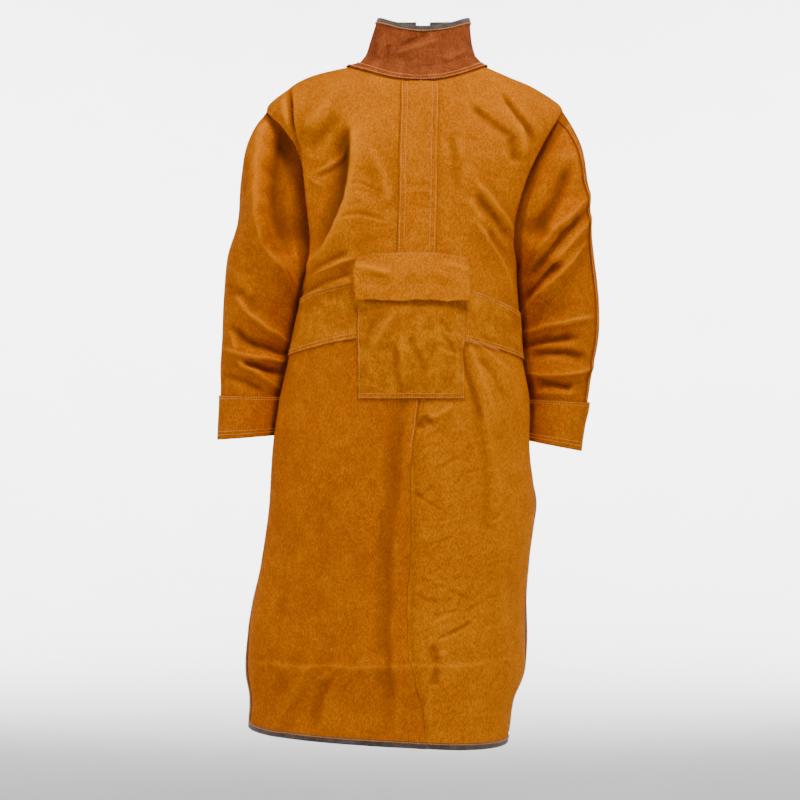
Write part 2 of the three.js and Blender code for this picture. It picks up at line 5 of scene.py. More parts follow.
import bpy
import numpy as np
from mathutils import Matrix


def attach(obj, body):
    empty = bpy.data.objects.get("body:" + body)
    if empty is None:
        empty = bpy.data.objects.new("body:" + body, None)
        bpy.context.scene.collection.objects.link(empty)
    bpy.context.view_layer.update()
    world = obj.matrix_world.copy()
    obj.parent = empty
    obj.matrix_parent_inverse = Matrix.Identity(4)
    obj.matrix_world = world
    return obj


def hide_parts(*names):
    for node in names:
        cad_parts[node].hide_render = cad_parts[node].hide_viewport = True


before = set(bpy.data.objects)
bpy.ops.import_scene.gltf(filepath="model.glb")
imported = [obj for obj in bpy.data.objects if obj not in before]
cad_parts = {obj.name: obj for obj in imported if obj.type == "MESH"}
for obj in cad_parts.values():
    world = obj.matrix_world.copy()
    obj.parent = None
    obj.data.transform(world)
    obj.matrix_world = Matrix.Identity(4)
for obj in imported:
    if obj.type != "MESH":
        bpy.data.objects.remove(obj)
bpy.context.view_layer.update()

# Sizes in millimetres, in the frame of the built part: +Z up, the front faces -Y, left is -X.
MM = 0.001
LEATHER = 2.0
LAP = 0.8  # clearance under a piece that is sewn over another
OVER = LAP + LEATHER
SIDES = {"left": -1, "right": 1}
OPEN = {"left": "openLeft", "right": "openRight"}

# The photograph's camera: level, at x and z, that far in front of the neck's middle, and the width of
# its frame there. The photograph is that many pixels wide and high.
CAMERA = {"x": -27.5, "z": -574.5, "away": 3600, "frame": 1376}
PHOTO = 800


def table(columns, *rows):
    """Rows with named columns."""
    return [dict(zip(columns.split(), row)) for row in rows]


# The body from the neck to the hem: ovals with their heights, reaches and open back edges.
BODY_RINGS = table(
    "ring zFront zSide zBack tilt centre left right front back openLeft openRight",
    ("neck", -29, 3, 12, 0, 8, 101, 102, 84, 74, 171, 171),
    ("yoke", -62, -17, -20, 0, 6, 184, 147, 98, 92, 168, 168),
    ("shoulder", -98, -42, -62, 0, 5, 228, 203, 107, 104, 163, 163),
    ("shoulder_tip", -138, -79, -106, 0, 4, 262, 250, 114, 110, 160, 160),
    ("upper_chest", -182, -128, -152, 0, 3, 237, 241, 120, 114, 158, 158),
    ("chest", -242, -200, -222, 0, 0, 221, 212, 126, 116, 156, 156),
    ("lower_chest", -308, -285, -300, 0, -4, 206, 187, 134, 116, 150, 150),
    ("armpit", -350, -355, -365, -4, -6, 192, 179, 140, 115, 142, 142),
    ("band_top", -374, -413, -420, -12, -8, 189, 185, 143, 114, 135, 135),
    ("band_bottom", -468, -503, -508, -3, -6, 212, 189, 149, 116, 135, 135),
    ("hip", -560, -575, -578, 0, -4, 231, 199, 151, 120, 126, 122),
    ("thigh", -655, -660, -660, 0, -8, 239, 204, 153, 124, 116, 108),
    ("mid_skirt", -755, -755, -755, 0, -9, 244, 213, 155, 126, 108, 99),
    ("low_skirt", -850, -850, -850, 0, -10, 256, 204, 156, 126, 101, 96),
    ("knee", -945, -945, -945, 0, -11, 272, 196, 157, 126, 95, 94),
    ("crease", -1035, -1035, -1035, 0, -9, 278, 195, 160, 126, 93, 94),
    ("below_crease", -1088, -1088, -1088, -4, 4, 284, 162, 157, 124, 92, 95),
    ("hem", -1147, -1148, -1148, -11, 12, 296, 145, 159, 122, 91, 95),
)
RING = {row["ring"]: i for i, row in enumerate(BODY_RINGS)}
WAIST_JOINT = (RING["band_top"] + RING["band_bottom"]) / 2

COLLAR_RINGS = table(
    "ring zFront zSide zBack tilt centre left right front back",
    ("foot", -21, 10, 19, 0, 8, 98, 97, 83, 73),
    ("lower", -4, 26, 35, 0, 8, 92, 91, 81, 72),
    ("middle", 22, 50, 57, 0, 10, 86, 85, 78, 70),
    ("rim", 55, 80, 86, 0, 13, 79, 79, 74, 67),
)
FLANGE_REACH = 0.3  # rows of the body under the collar's foot

ARMHOLE_HALF_DEG = 26
ARMPIT_Z = {"left": -385, "right": -340}

# The sleeves from the armhole to the cuff's end: nearest and furthest point, middle and half depth.
SLEEVE_COLUMNS = "ring xIn zIn xOut zOut y depth"
SLEEVE_RINGS = {
    "left": table(
        SLEEVE_COLUMNS,
        ("cap", -201, -396, -289, -138, 2, 64),
        ("upper_arm", -202, -408, -301, -199, 11, 74),
        ("mid_arm", -202, -421, -308, -265, 27, 79),
        ("above_elbow", -203, -437, -327, -327, 39, 80),
        ("elbow", -206, -456, -334, -396, 44, 78),
        ("below_elbow", -213, -483, -337, -464, 42, 74),
        ("forearm", -219, -519, -340, -516, 38, 68),
        ("low_forearm", -227, -550, -339, -550, 34, 62),
        ("cuff_top", -236, -576, -339, -575, 31, 58),
        ("cuff_end", -246, -635, -341, -643, 26, 55),
    ),
    "right": table(
        SLEEVE_COLUMNS,
        ("cap", 178, -353, 285, -138, 2, 64),
        ("upper_arm", 174, -369, 296, -199, 11, 74),
        ("mid_arm", 173, -388, 301, -265, 27, 79),
        ("above_elbow", 173, -411, 310, -327, 39, 80),
        ("elbow", 178, -440, 318, -396, 44, 78),
        ("below_elbow", 180, -480, 318, -464, 42, 74),
        ("forearm", 183, -523, 306, -523, 38, 68),
        ("low_forearm", 190, -554, 301, -557, 34, 62),
        ("cuff_top", 197, -581, 296, -588, 31, 58),
        ("cuff_end", 198, -645, 284, -662, 26, 54),
    ),
}
CUFF_TOP = 9
CUFF_END = 10
CUFF_LAP = 0.22
OVERARM_SEAM_DEG = {"left": -28, "right": 28}

# Folds and creases as they were measured in the photograph's frame. Each stands out by its
# height, and falls away over left and right, in millimetres, on the two sides of its path. Sharp 2 is
# round and 1 is a crest. Depth is where the surface lies, and strength goes with the height.
SURFACES = {
    "chest": {"depth": -118, "strength": 1.5},
    "skirt": {"depth": -156, "strength": 1.5},
    "left": {"depth": -45, "strength": 1.7},
    "right": {"depth": -45, "strength": 1.7},
    "pocket": {"depth": -158, "strength": 1.25},
    "flap": {"depth": -158, "strength": 1.2},
    "collar": {"depth": -80, "strength": 1.2},
}
FOLD_COLUMNS = "height left right sharp path"
FOLDS = {
    "chest": table(
        FOLD_COLUMNS,
        (15, 44, 7, 1.2, (
            (348, 112), (352, 134), (352, 154), (350, 176), (344, 206),
            (337, 228), (326, 246), (309, 259), (290, 270),
        )),
        (-16, 15, 30, 1.8, ((344, 116), (338, 172), (328, 214), (312, 243), (296, 258))),
        (1.9, 2.4, 4, 1.3, ((306, 170), (325, 161), (337, 151), (344, 141), (360, 132))),
        (-2.2, 3, 5, 1.5, ((308, 174), (327, 165), (340, 154), (350, 142))),
        (1.5, 2.6, 2.6, 1.4, ((302, 170), (310, 176), (321, 184))),
        (-5, 12, 12, 2, ((304, 152), (320, 132), (341, 108))),
        (4, 12, 12, 2, ((304, 132), (316, 112), (334, 92))),
        (-1.6, 2.5, 2.5, 1.4, ((336, 219), (352, 216), (368, 216), (388, 219))),
        (1.2, 3, 3, 1.5, ((342, 221), (362, 219), (382, 221))),
        (-1.6, 2.5, 2.5, 1.4, ((344, 186), (358, 185), (370, 188), (386, 192))),
        (-1.3, 2.6, 2.6, 1.4, ((352, 193), (368, 193), (384, 198))),
        (6, 8, 5, 1.3, ((286, 288), (328, 269), (366, 258))),
        (-5, 6, 6, 1.7, ((300, 290), (332, 278), (358, 274))),
        (5, 7, 5, 1.3, ((290, 302), (330, 288), (364, 282))),
        (-4, 7, 7, 1.8, ((302, 274), (330, 260), (356, 254))),
        (-10, 5, 4.5, 2, ((281, 62), (285, 84), (288, 104), (290, 124), (293, 148), (298, 196))),
        (5, 7, 12, 1.5, ((276, 86), (285, 108), (290, 128), (292, 146))),
        (-8, 7, 7, 1.5, ((500, 84), (516, 104), (530, 124), (538, 144))),
        (-5.5, 7, 10, 1.6, ((466, 100), (494, 119), (526, 144))),
        (4.5, 7, 7, 1.6, ((520, 120), (524, 138), (526, 158))),
        (-4.5, 9, 9, 2, ((510, 134), (514, 146), (516, 162))),
        (6, 6, 8, 1.3, ((470, 174), (490, 198), (506, 216), (520, 240))),
        (-4, 8, 8, 1.8, ((472, 192), (490, 212), (503, 226), (514, 242))),
        (7, 6, 9, 1.2, ((466, 214), (484, 235), (499, 256), (512, 280), (520, 306))),
        (-5, 9, 9, 1.8, ((486, 226), (502, 246), (518, 270))),
        (3.5, 7, 7, 1.6, ((466, 196), (474, 212), (484, 226))),
        (3, 9, 9, 2, ((370, 150), (384, 176), (392, 206))),
        (-2.5, 9, 9, 2, ((448, 130), (456, 160), (458, 196))),
        (-0.9, 2.6, 2.6, 1.5, ((402, 181), (418, 184), (434, 182))),
        (-1.0, 2.6, 2.6, 1.5, ((404, 203), (416, 204), (432, 209))),
        (0.9, 2.6, 2.6, 1.5, ((402, 192), (418, 190), (436, 192))),
    ),
    "skirt": table(
        FOLD_COLUMNS,
        (-6, 13, 26, 2, ((404, 372), (396, 450), (390, 520), (386, 600), (388, 680), (396, 760))),
        (2.4, 3.5, 7, 1.4, (
            (416, 380), (410, 464), (409, 549), (406, 610), (408, 658), (417, 697), (424, 750),
        )),
        (-1.9, 2.6, 2.6, 1.4, ((410, 487), (425, 500), (444, 513))),
        (4, 14, 17, 1.5, ((474, 356), (484, 410), (497, 478), (502, 560), (503, 640))),
        (-3, 11, 11, 1.8, ((464, 352), (477, 414), (487, 470), (490, 560))),
        (4, 6, 8, 1.3, ((463, 326), (472, 350), (482, 376), (494, 412), (502, 444))),
        (-4, 6, 6, 1.6, ((458, 340), (467, 368), (476, 398), (484, 430))),
        (4, 6, 7, 1.3, ((474, 338), (496, 358), (512, 376), (522, 402))),
        (-3, 6, 6, 1.7, ((478, 356), (496, 376), (508, 402))),
        (4, 10, 12, 1.6, ((497, 570), (503, 615), (508, 650), (511, 716))),
        (2.4, 5, 12, 1.2, ((180, 670), (290, 668), (350, 667), (411, 667), (470, 666), (580, 663))),
        (4.5, 11, 14, 1.7, ((312, 650), (299, 686), (280, 722), (264, 756))),
        (-4, 12, 12, 2, ((330, 676), (322, 700), (310, 735))),
        (3, 14, 14, 2, ((356, 655), (368, 662), (392, 660))),
        (-4, 9, 9, 1.8, ((430, 640), (436, 668), (432, 690))),
        (3, 7, 7, 1.7, ((423, 420), (440, 414), (458, 404))),
        (-3, 6, 6, 1.7, ((418, 432), (422, 424), (432, 418))),
        (1.5, 2.8, 3.4, 1.4, ((424, 628), (440, 620), (462, 610))),
        (-1.8, 2.8, 2.8, 1.5, ((436, 641), (455, 632), (478, 621))),
        (1.5, 2.8, 2.8, 1.4, ((450, 600), (464, 612), (481, 628))),
        (-1.4, 2.6, 2.6, 1.5, ((413, 592), (424, 598), (440, 602))),
        (1.0, 2.8, 2.8, 1.4, ((460, 639), (476, 633), (497, 629))),
        (-1.5, 2.6, 2.6, 1.5, ((444, 587), (458, 594), (476, 603))),
        (1.0, 3, 2.6, 1.4, ((434, 658), (454, 650), (478, 642))),
        (-1.5, 2.6, 2.6, 1.5, ((464, 613), (480, 606), (498, 596))),
        (0.9, 2.8, 2.8, 1.4, ((418, 572), (432, 580), (452, 588))),
        (-1.1, 3, 3, 1.6, ((430, 471), (446, 464), (464, 451))),
        (1.2, 3.4, 3.4, 1.6, ((434, 529), (456, 520), (478, 511))),
        (-1.0, 3, 3, 1.6, ((418, 549), (436, 542), (458, 535))),
        (1.0, 3, 3, 1.6, ((444, 564), (464, 556), (488, 545))),
        (4, 30, 30, 2, ((300, 400), (296, 470), (290, 560))),
        (-4, 28, 28, 2, ((280, 500), (276, 580), (272, 650))),
        (4, 26, 26, 2, ((350, 470), (344, 560), (338, 650))),
    ),
    "left": table(
        FOLD_COLUMNS,
        (10, 9, 34, 1.2, (
            (276, 92), (262, 132), (259, 180), (262, 224), (270, 250), (285, 270), (312, 292),
        )),
        (-11.5, 40, 12, 1.8, ((280, 104), (276, 150), (276, 196), (282, 236), (296, 266))),
        (8, 8, 11, 1.2, ((226, 286), (256, 317), (276, 335), (306, 356))),
        (-7, 9, 8, 1.5, ((216, 320), (246, 339), (266, 347), (296, 358))),
        (6, 7, 6, 1.2, ((210, 344), (246, 355), (272, 359), (304, 368))),
        (-7, 7, 7, 1.8, ((240, 362), (262, 368), (288, 375))),
        (6, 8, 6, 1.2, ((228, 356), (258, 375), (300, 402))),
        (-4, 7, 7, 1.8, ((214, 372), (240, 381), (268, 392))),
        (3, 7, 7, 1.7, ((222, 322), (232, 338), (238, 352))),
        (3, 9, 9, 1.8, ((226, 262), (242, 280), (254, 300))),
        (-3, 10, 10, 1.8, ((230, 286), (246, 302), (258, 316))),
    ),
    "right": table(
        FOLD_COLUMNS,
        (9, 24, 9, 1.2, ((612, 170), (578, 203), (553, 229), (524, 270))),
        (-11, 12, 18, 1.8, ((580, 156), (556, 198), (528, 246))),
        (8, 18, 8, 1.2, ((606, 196), (564, 246), (522, 302))),
        (-7, 8, 8, 1.7, ((592, 200), (556, 242), (522, 284))),
        (8, 13, 7, 1.2, ((592, 232), (552, 280), (530, 306), (512, 340))),
        (-9, 9, 9, 1.9, ((562, 254), (540, 282), (524, 304))),
        (6, 7, 7, 1.2, ((502, 348), (546, 327), (606, 314))),
        (-6, 7, 7, 1.8, ((518, 349), (548, 340), (584, 336))),
        (-7, 8, 8, 1.8, ((524, 358), (556, 352), (592, 357))),
        (6, 7, 6, 1.2, ((508, 366), (556, 374), (608, 362))),
        (-5, 6, 6, 1.8, ((532, 377), (556, 383), (578, 386))),
        (3, 6, 6, 1.6, ((528, 393), (556, 392), (582, 394))),
    ),
    "pocket": table(
        FOLD_COLUMNS,
        (3.6, 6, 11, 1.4, ((412, 296), (396, 312), (384, 332), (372, 360))),
        (-2.6, 8, 8, 1.8, ((392, 304), (373, 328), (362, 360))),
        (1.9, 9, 8, 1.7, ((398, 330), (404, 352), (402, 376), (406, 396))),
        (-2.4, 6, 8, 1.7, ((400, 336), (396, 354), (398, 374), (403, 398))),
        (1.7, 9, 9, 1.8, ((424, 300), (418, 326), (424, 352))),
        (-2.2, 7, 7, 1.8, ((412, 330), (418, 352), (430, 378))),
        (2.2, 7, 7, 1.7, ((448, 346), (440, 364), (436, 392))),
        (-1.8, 3.5, 3.5, 1.5, ((438, 318), (445, 328), (452, 337))),
        (-2.2, 3.5, 3.5, 1.5, ((441, 336), (449, 347), (457, 357))),
        (1.8, 4, 4, 1.5, ((432, 348), (444, 354), (457, 356))),
        (1.4, 7, 7, 1.8, ((428, 312), (438, 336), (440, 366))),
    ),
    "flap": table(
        FOLD_COLUMNS,
        (4.5, 6, 6, 1.6, ((352, 262), (372, 269), (394, 275))),
        (-3, 7, 7, 1.8, ((356, 276), (376, 281), (396, 284))),
        (2.5, 7, 7, 1.7, ((436, 260), (456, 265), (472, 272))),
        (-2, 8, 8, 1.9, ((400, 284), (424, 281), (452, 286))),
    ),
    "collar": table(
        FOLD_COLUMNS,
        (5, 6, 9, 1.4, ((392, 56), (410, 49), (424, 44), (443, 37))),
        (-3, 6, 6, 1.7, ((394, 46), (412, 40), (430, 33))),
        (-3, 4, 4, 1.6, ((390, 40), (388, 50), (387, 62))),
        (3, 5, 5, 1.5, ((380, 30), (381, 46), (378, 62))),
        (2, 6, 6, 1.7, ((440, 60), (456, 54), (470, 44))),
    ),
}
# Small creases that use leaves, spread over parts of the garment in millimetres.
CREASES = table(
    "on lowX highX lowZ highZ count angle turn length height",
    ("body", -185, -35, -345, -90, 26, 15, 45, 38, 0.9),
    ("body", 40, 175, -355, -90, 26, -45, 40, 38, 0.9),
    ("body", -190, 185, -480, -380, 24, 0, 70, 30, 0.7),
    ("body", 5, 150, -1120, -600, 120, 28, 38, 34, 1.05),
    ("body", -280, -30, -1130, -590, 46, 60, 60, 46, 0.8),
    ("left", -335, -205, -570, -170, 40, -35, 40, 32, 1.1),
    ("right", 185, 315, -570, -170, 40, 40, 40, 32, 1.1),
    ("pocket", -95, 78, -560, -400, 22, 60, 50, 28, 0.8),
    ("collar", -85, 105, -20, 70, 22, 20, 50, 26, 0.8),
)
# How these differ: shares of their length, bow and height, and their width in millimetres.
CREASE = {"long": (0.35, 0.9), "bow": 0.25, "high": (0.4, 1.3), "wide": (2.3, 3.8), "sharp": 1.5, "seed": 40}
CREASE_ENDS = 0.25  # the share of a fold's length over which each end fades
# How folds stray from their paths, and the soft unevenness of hide, by noise of these cells.
STRAY = table("size cell seedX seedZ", (3.5, 48, 1, 2), (1.2, 17, 21, 22))
SWELL = table("height cell seed", (1.9, 95, 3), (0.9, 40, 4), (0.35, 15, 5), (0.16, 7, 6))
SIDE_SWELL = 0.3  # the share of it that is left on the sides


def smoothstep(x, low, high):
    t = np.clip((x - low) / (high - low), 0, 1)
    return t * t * (3 - 2 * t)


def through_four(a, b, c, d, t):
    """A smooth curve from b to c, with a and d the values before and after them."""
    bend = 2 * a - 5 * b + 4 * c - d
    twist = 3 * b - a - 3 * c + d
    return 0.5 * (2 * b + (c - a) * t + bend * t**2 + twist * t**3)


def along(rows, column, v):
    """One column of a table at rows v, on a smooth curve through the rows."""
    values = np.array([row[column] for row in rows], float)
    values = np.concatenate([[2 * values[0] - values[1]], values, [2 * values[-1] - values[-2]]])
    i = np.clip(np.floor(v).astype(int), 0, len(rows) - 2)
    return through_four(values[i], values[i + 1], values[i + 2], values[i + 3], v - i)


def ring_point(rows, deg, v):
    """Points of the oval rings, deg round from the front towards the right."""
    deg, v = np.broadcast_arrays(np.asarray(deg, float), np.asarray(v, float))
    c, s = np.cos(np.radians(deg)), np.sin(np.radians(deg))
    ahead = c >= 0
    x = along(rows, "centre", v) + np.where(s < 0, along(rows, "left", v), along(rows, "right", v)) * s
    y = -np.where(ahead, along(rows, "front", v), along(rows, "back", v)) * c
    z_side = along(rows, "zSide", v)
    z_end = np.where(ahead, along(rows, "zFront", v), along(rows, "zBack", v))
    return np.stack([x, y, z_side + (z_end - z_side) * c**2 + along(rows, "tilt", v) * s], -1)


def row_where(column, value):
    """The row of the body's rings at which a falling column has a value."""
    v = np.linspace(0, len(BODY_RINGS) - 1, 4000)
    return float(np.interp(-value, -along(BODY_RINGS, column, v), v))


def unit(a):
    return a / np.maximum(np.linalg.norm(a, axis=-1, keepdims=True), 1e-9)


def armhole(side, deg, grow=1.0):
    """Where a sleeve's angles meet the armhole: angles round the body and rows of its rings.

    Grown, it is a line round the armhole on the body's panels."""
    top, pit = RING["shoulder_tip"], row_where("zSide", ARMPIT_Z[side])
    deg = np.radians(deg)
    angle = SIDES[side] * (90 - ARMHOLE_HALF_DEG * grow * np.sin(deg))
    return angle, (top + pit) / 2 - (pit - top) / 2 * grow * np.cos(deg)


def sleeve_point(side, deg, k):
    """Points of a sleeve: ring 0 is the armhole, and the others are ovals."""
    deg, k = np.broadcast_arrays(np.asarray(deg, float), np.asarray(k, float))
    out = ((1 + np.cos(np.radians(deg))) / 2)[..., None]
    i = np.clip(np.floor(k).astype(int), 0, CUFF_END - 1)
    hole = ring_point(BODY_RINGS, *armhole(side, deg))
    columns = {c: np.array([row[c] for row in SLEEVE_RINGS[side]]) for c in SLEEVE_COLUMNS.split()}

    def ring(j):
        q = np.clip(j - 1, 0, CUFF_END - 1)
        inner, outer = (
            np.stack([columns[c][q] for c in (f"x{end}", "y", f"z{end}")], -1).astype(float)
            for end in ("In", "Out")
        )
        p = inner + (outer - inner) * out
        p[..., 1] -= columns["depth"][q] * np.sin(np.radians(deg))
        return np.where((j <= 0)[..., None], hole, p)

    b, c = ring(i), ring(i + 1)
    a = np.where((i > 0)[..., None], ring(i - 1), 2 * b - c)
    d = np.where((i + 2 <= CUFF_END)[..., None], ring(i + 2), 2 * c - b)
    return through_four(a, b, c, d, (k - i)[..., None])


def noise(p, cell, seed):
    """Smooth noise from -1 to 1 at points p, on a lattice of that cell size."""
    q = p / cell
    i = np.floor(q).astype(np.int64)
    f = q - i
    f = f * f * (3 - 2 * f)
    total = 0
    for corner in range(8):
        bits = np.array([corner & 1, corner >> 1 & 1, corner >> 2 & 1])
        k = i + bits
        h = k[..., 0] * 374761393 + k[..., 1] * 668265263 + k[..., 2] * 1103515245 + seed * 974711
        h = (h ^ h >> 13) * 1274126177 & 0xFFFFFFFF
        value = ((h ^ h >> 16) & 0xFFFF) / 32767.5 - 1
        total = total + value * np.prod(np.where(bits, f, 1 - f), -1)
    return total


def photo_place(path, depth):
    """Places in the photo's frame, as x and z on a surface at that depth."""
    scale = CAMERA["frame"] / PHOTO * (1 + depth / CAMERA["away"])
    right, down = (np.array(path, float).T - PHOTO / 2) * scale
    return np.stack([CAMERA["x"] + right, CAMERA["z"] - down], -1)


def smooth_path(path):
    """A path with more points, on a smooth curve through its own."""
    path = np.concatenate([[2 * path[0] - path[1]], path, [2 * path[-1] - path[-2]]])
    t = np.linspace(0, len(path) - 3, 4 * (len(path) - 3) + 1)
    i = np.minimum(t.astype(int), len(path) - 4)
    return through_four(path[i], path[i + 1], path[i + 2], path[i + 3], (t - i)[:, None])


def crease_lines(on):
    """The folds of one surface and its small creases: path, height, left, right and sharp."""
    for part in {"body": ("chest", "skirt")}.get(on, (on,)):
        surface = SURFACES[part]
        for fold in FOLDS[part]:
            path = smooth_path(photo_place(fold["path"], surface["depth"]))
            yield path, fold["height"] * surface["strength"], fold["left"], fold["right"], fold["sharp"]
    for seed, area in enumerate(CREASES):
        if area["on"] != on:
            continue
        rng = np.random.default_rng(CREASE["seed"] + seed)
        for _ in range(area["count"]):
            middle = np.array([rng.uniform(area[f"low{c}"], area[f"high{c}"]) for c in "XZ"])
            angle = math.radians(area["angle"] + rng.uniform(-1, 1) * area["turn"])
            half = area["length"] * rng.uniform(*CREASE["long"])
            run = np.array([math.cos(angle), math.sin(angle)]) * half
            bow = np.array([-run[1], run[0]]) * rng.uniform(-CREASE["bow"], CREASE["bow"])
            height = area["height"] * rng.uniform(*CREASE["high"]) * rng.choice([-1, 1])
            width = rng.uniform(*CREASE["wide"])
            path = smooth_path(np.array([middle - run, middle + bow, middle + run]))
            yield path, height, width, width, CREASE["sharp"]


def crease_height(x, z, path, height, left, right, sharp):
    """How far one crease stands out at places seen from the front."""
    reach = 3 * max(left, right)
    low, high = path.min(0) - reach, path.max(0) + reach
    near = (x > low[0]) & (x < high[0]) & (z > low[1]) & (z < high[1])
    total = np.zeros_like(x)
    if not near.any():
        return total
    q = np.stack([x[near], z[near]], -1)
    steps = np.diff(path, axis=0)
    length = np.linalg.norm(steps, axis=1)
    gone = np.concatenate([[0], np.cumsum(length)])
    nearest = np.full(len(q), np.inf)
    side, run = np.zeros(len(q)), np.zeros(len(q))
    for i, step in enumerate(steps):
        off = q - path[i]
        t = np.clip(off @ step / length[i] ** 2, 0, 1)
        off = off - t[:, None] * step
        distance = np.hypot(off[:, 0], off[:, 1])
        closer = distance < nearest
        nearest = np.where(closer, distance, nearest)
        side = np.where(closer, step[0] * off[:, 1] - step[1] * off[:, 0], side)
        run = np.where(closer, (gone[i] + t * length[i]) / gone[-1], run)
    ends = smoothstep(run, 0, CREASE_ENDS) * (1 - smoothstep(run, 1 - CREASE_ENDS, 1))
    total[near] = height * np.exp(-((nearest / np.where(side > 0, left, right)) ** sharp)) * ends
    return total


@functools.cache
def lines_of(on):
    return list(crease_lines(on))


def fold_height(on, x, z):
    """How far the folds and creases of one surface stand out at places seen from the front."""
    flat = np.stack([x, np.zeros_like(x), z], -1)
    for row in STRAY:
        x = x + row["size"] * noise(flat, row["cell"], row["seedX"])
        z = z + row["size"] * noise(flat, row["cell"], row["seedZ"])
    return sum((crease_height(x, z, *line) for line in lines_of(on)), np.zeros_like(x))


def swell_height(p):
    """The soft unevenness of hide at points of a smooth surface."""
    return sum(row["height"] * noise(p, row["cell"], row["seed"]) for row in SWELL)


def local_mean(grid, reach):
    """The mean of a grid's values round each place."""
    count = 2 * reach + 1
    for axis in (0, 1):
        margins = [(reach, reach) if a == axis else (0, 0) for a in range(grid.ndim)]
        padded = np.pad(grid, margins, mode="edge")
        size = grid.shape[axis]
        grid = sum(np.take(padded, np.arange(k, k + size), axis) for k in range(count)) / count
    return grid


def above_mean(height, reach):
    """How far each place of a grid stands above its surroundings."""
    return height - local_mean(height, reach)


# Reaches in grid rows for small creases and wide folds, and the shares of wide folds on crests and in
# hollows, for the painted shade in hollows and the paler crests.
CREST_WEAR_AND_HOLLOW_SHADE = {"smallReach": 3, "wideReach": 12, "wideCrest": 0.08, "wideHollow": 0.4}


def wear_of(height):
    """How far a place stands above or sinks below its surroundings, which paints hollows darker as painted
    shade and crests paler, partly worn nap and partly painted highlight: small creases count in full, and
    wide folds a little, more so in their hollows.
    """
    wide = above_mean(height, CREST_WEAR_AND_HOLLOW_SHADE["wideReach"])
    share = np.where(wide < 0, CREST_WEAR_AND_HOLLOW_SHADE["wideHollow"], CREST_WEAR_AND_HOLLOW_SHADE["wideCrest"])
    return above_mean(height, CREST_WEAR_AND_HOLLOW_SHADE["smallReach"]) + share * wide


def smooth_surface(point, a, b, turn):
    """Points and outward directions of a surface before it is folded."""
    step_a, step_b = 0.5, 0.02
    n = np.cross(point(a + step_a, b) - point(a - step_a, b), point(a, b + step_b) - point(a, b - step_b))
    return point(a, b), turn * unit(n)


def displacement(on, p, n):
    """How far a surface stands out from its smooth form. Its folds are those that show from the front."""
    ahead = -n[..., 1]
    folds = fold_height(on, p[..., 0], p[..., 2]) * np.maximum(ahead, 0)
    return folds + swell_height(p) * (SIDE_SWELL + (1 - SIDE_SWELL) * np.abs(ahead))


# At an armhole the body and the sleeve are drawn in together along one seam.
SEAM_DRAW = {"top": 1.2, "front": 17.0, "back": 3.0}
SEAM_REACH = {"body": 7, "sleeve": 14, "blend": 6, "pushFrom": 4, "pushTo": 24}
SEAM_BOX = {"x": 220, "half": 130, "lowZ": -430, "highZ": -40}  # what of the body an armhole can draw in
BODY_CLEAR = 2.2  # between a sleeve and the body beside it
BAND_NEAR = {"rows": 1.3, "fade": 0.6}  # rows from the waist's joint where the waistband counts
# Painted shade where the body and a sleeve meet in a crevice: how dark it is painted, and how far it reaches
# from the seam or gap.
CREVICE_SHADE = {"dark": 4.6, "body": 4, "from": 2, "to": 11}
# The underarm fills the hollow between the sleeve and the body.
UNDERARM = table(
    "ring half deg turn out",
    (1.0, 0.8, 180, 34, 3.6),
    (1.6, 1.5, 212, 24, 13),
)


@functools.cache
def seam_shift(side):
    """Points round an armhole before it is folded, and how each one is moved."""
    deg = np.arange(0, 360, 3.0)
    p, n = smooth_surface(functools.partial(ring_point, BODY_RINGS), *armhole(side, deg), -1)
    _, m = smooth_surface(functools.partial(sleeve_point, side), deg, np.full_like(deg, 0.15), SIDES[side])
    front = np.maximum(np.sin(np.radians(deg)), 0) ** 1.5
    back = np.maximum(-np.sin(np.radians(deg)), 0)
    draw = SEAM_DRAW["top"] + SEAM_DRAW["front"] * front + SEAM_DRAW["back"] * back
    height = (displacement("body", p, n) + displacement(side, p, m)) / 2 - draw
    return deg, p, unit(n + m) * height[:, None]


def body(deg, v):
    """The folded body at angles and rows: points, outward directions, and a value that paints crests paler
    and paints shade into hollows and along the armhole seams.
    """
    deg, v = np.broadcast_arrays(np.asarray(deg, float), np.asarray(v, float))
    p, n = smooth_surface(functools.partial(ring_point, BODY_RINGS), deg, v, -1)
    height = displacement("body", p, n)
    move = n * height[..., None]
    crevice_shade = np.zeros_like(height)
    for side in SIDES:
        _, seam, shift = seam_shift(side)
        near = np.abs(p[..., 0] - SIDES[side] * SEAM_BOX["x"]) < SEAM_BOX["half"]
        near &= (p[..., 2] > SEAM_BOX["lowZ"]) & (p[..., 2] < SEAM_BOX["highZ"])
        if not near.any():
            continue
        away = np.linalg.norm(p[near][:, None] - seam, axis=-1)
        nearest = away.min(1)
        share = np.exp(-((away - nearest[:, None]) / SEAM_REACH["blend"]))
        pull = (share @ shift) / share.sum(1)[:, None]
        weight = np.exp(-((nearest / SEAM_REACH["body"]) ** 2))[:, None]
        move[near] = move[near] * (1 - weight) + pull * weight
        # Painted shade along the armhole seam, on the parts of the body that face the front.
        dark = CREVICE_SHADE["dark"] * np.exp(-((nearest / CREVICE_SHADE["body"]) ** 2))
        crevice_shade[near] += dark * np.maximum(-n[near][:, 1], 0)
    folded = p + move
    return folded, like(grid_normals(folded), n), wear_of(height) - crevice_shade


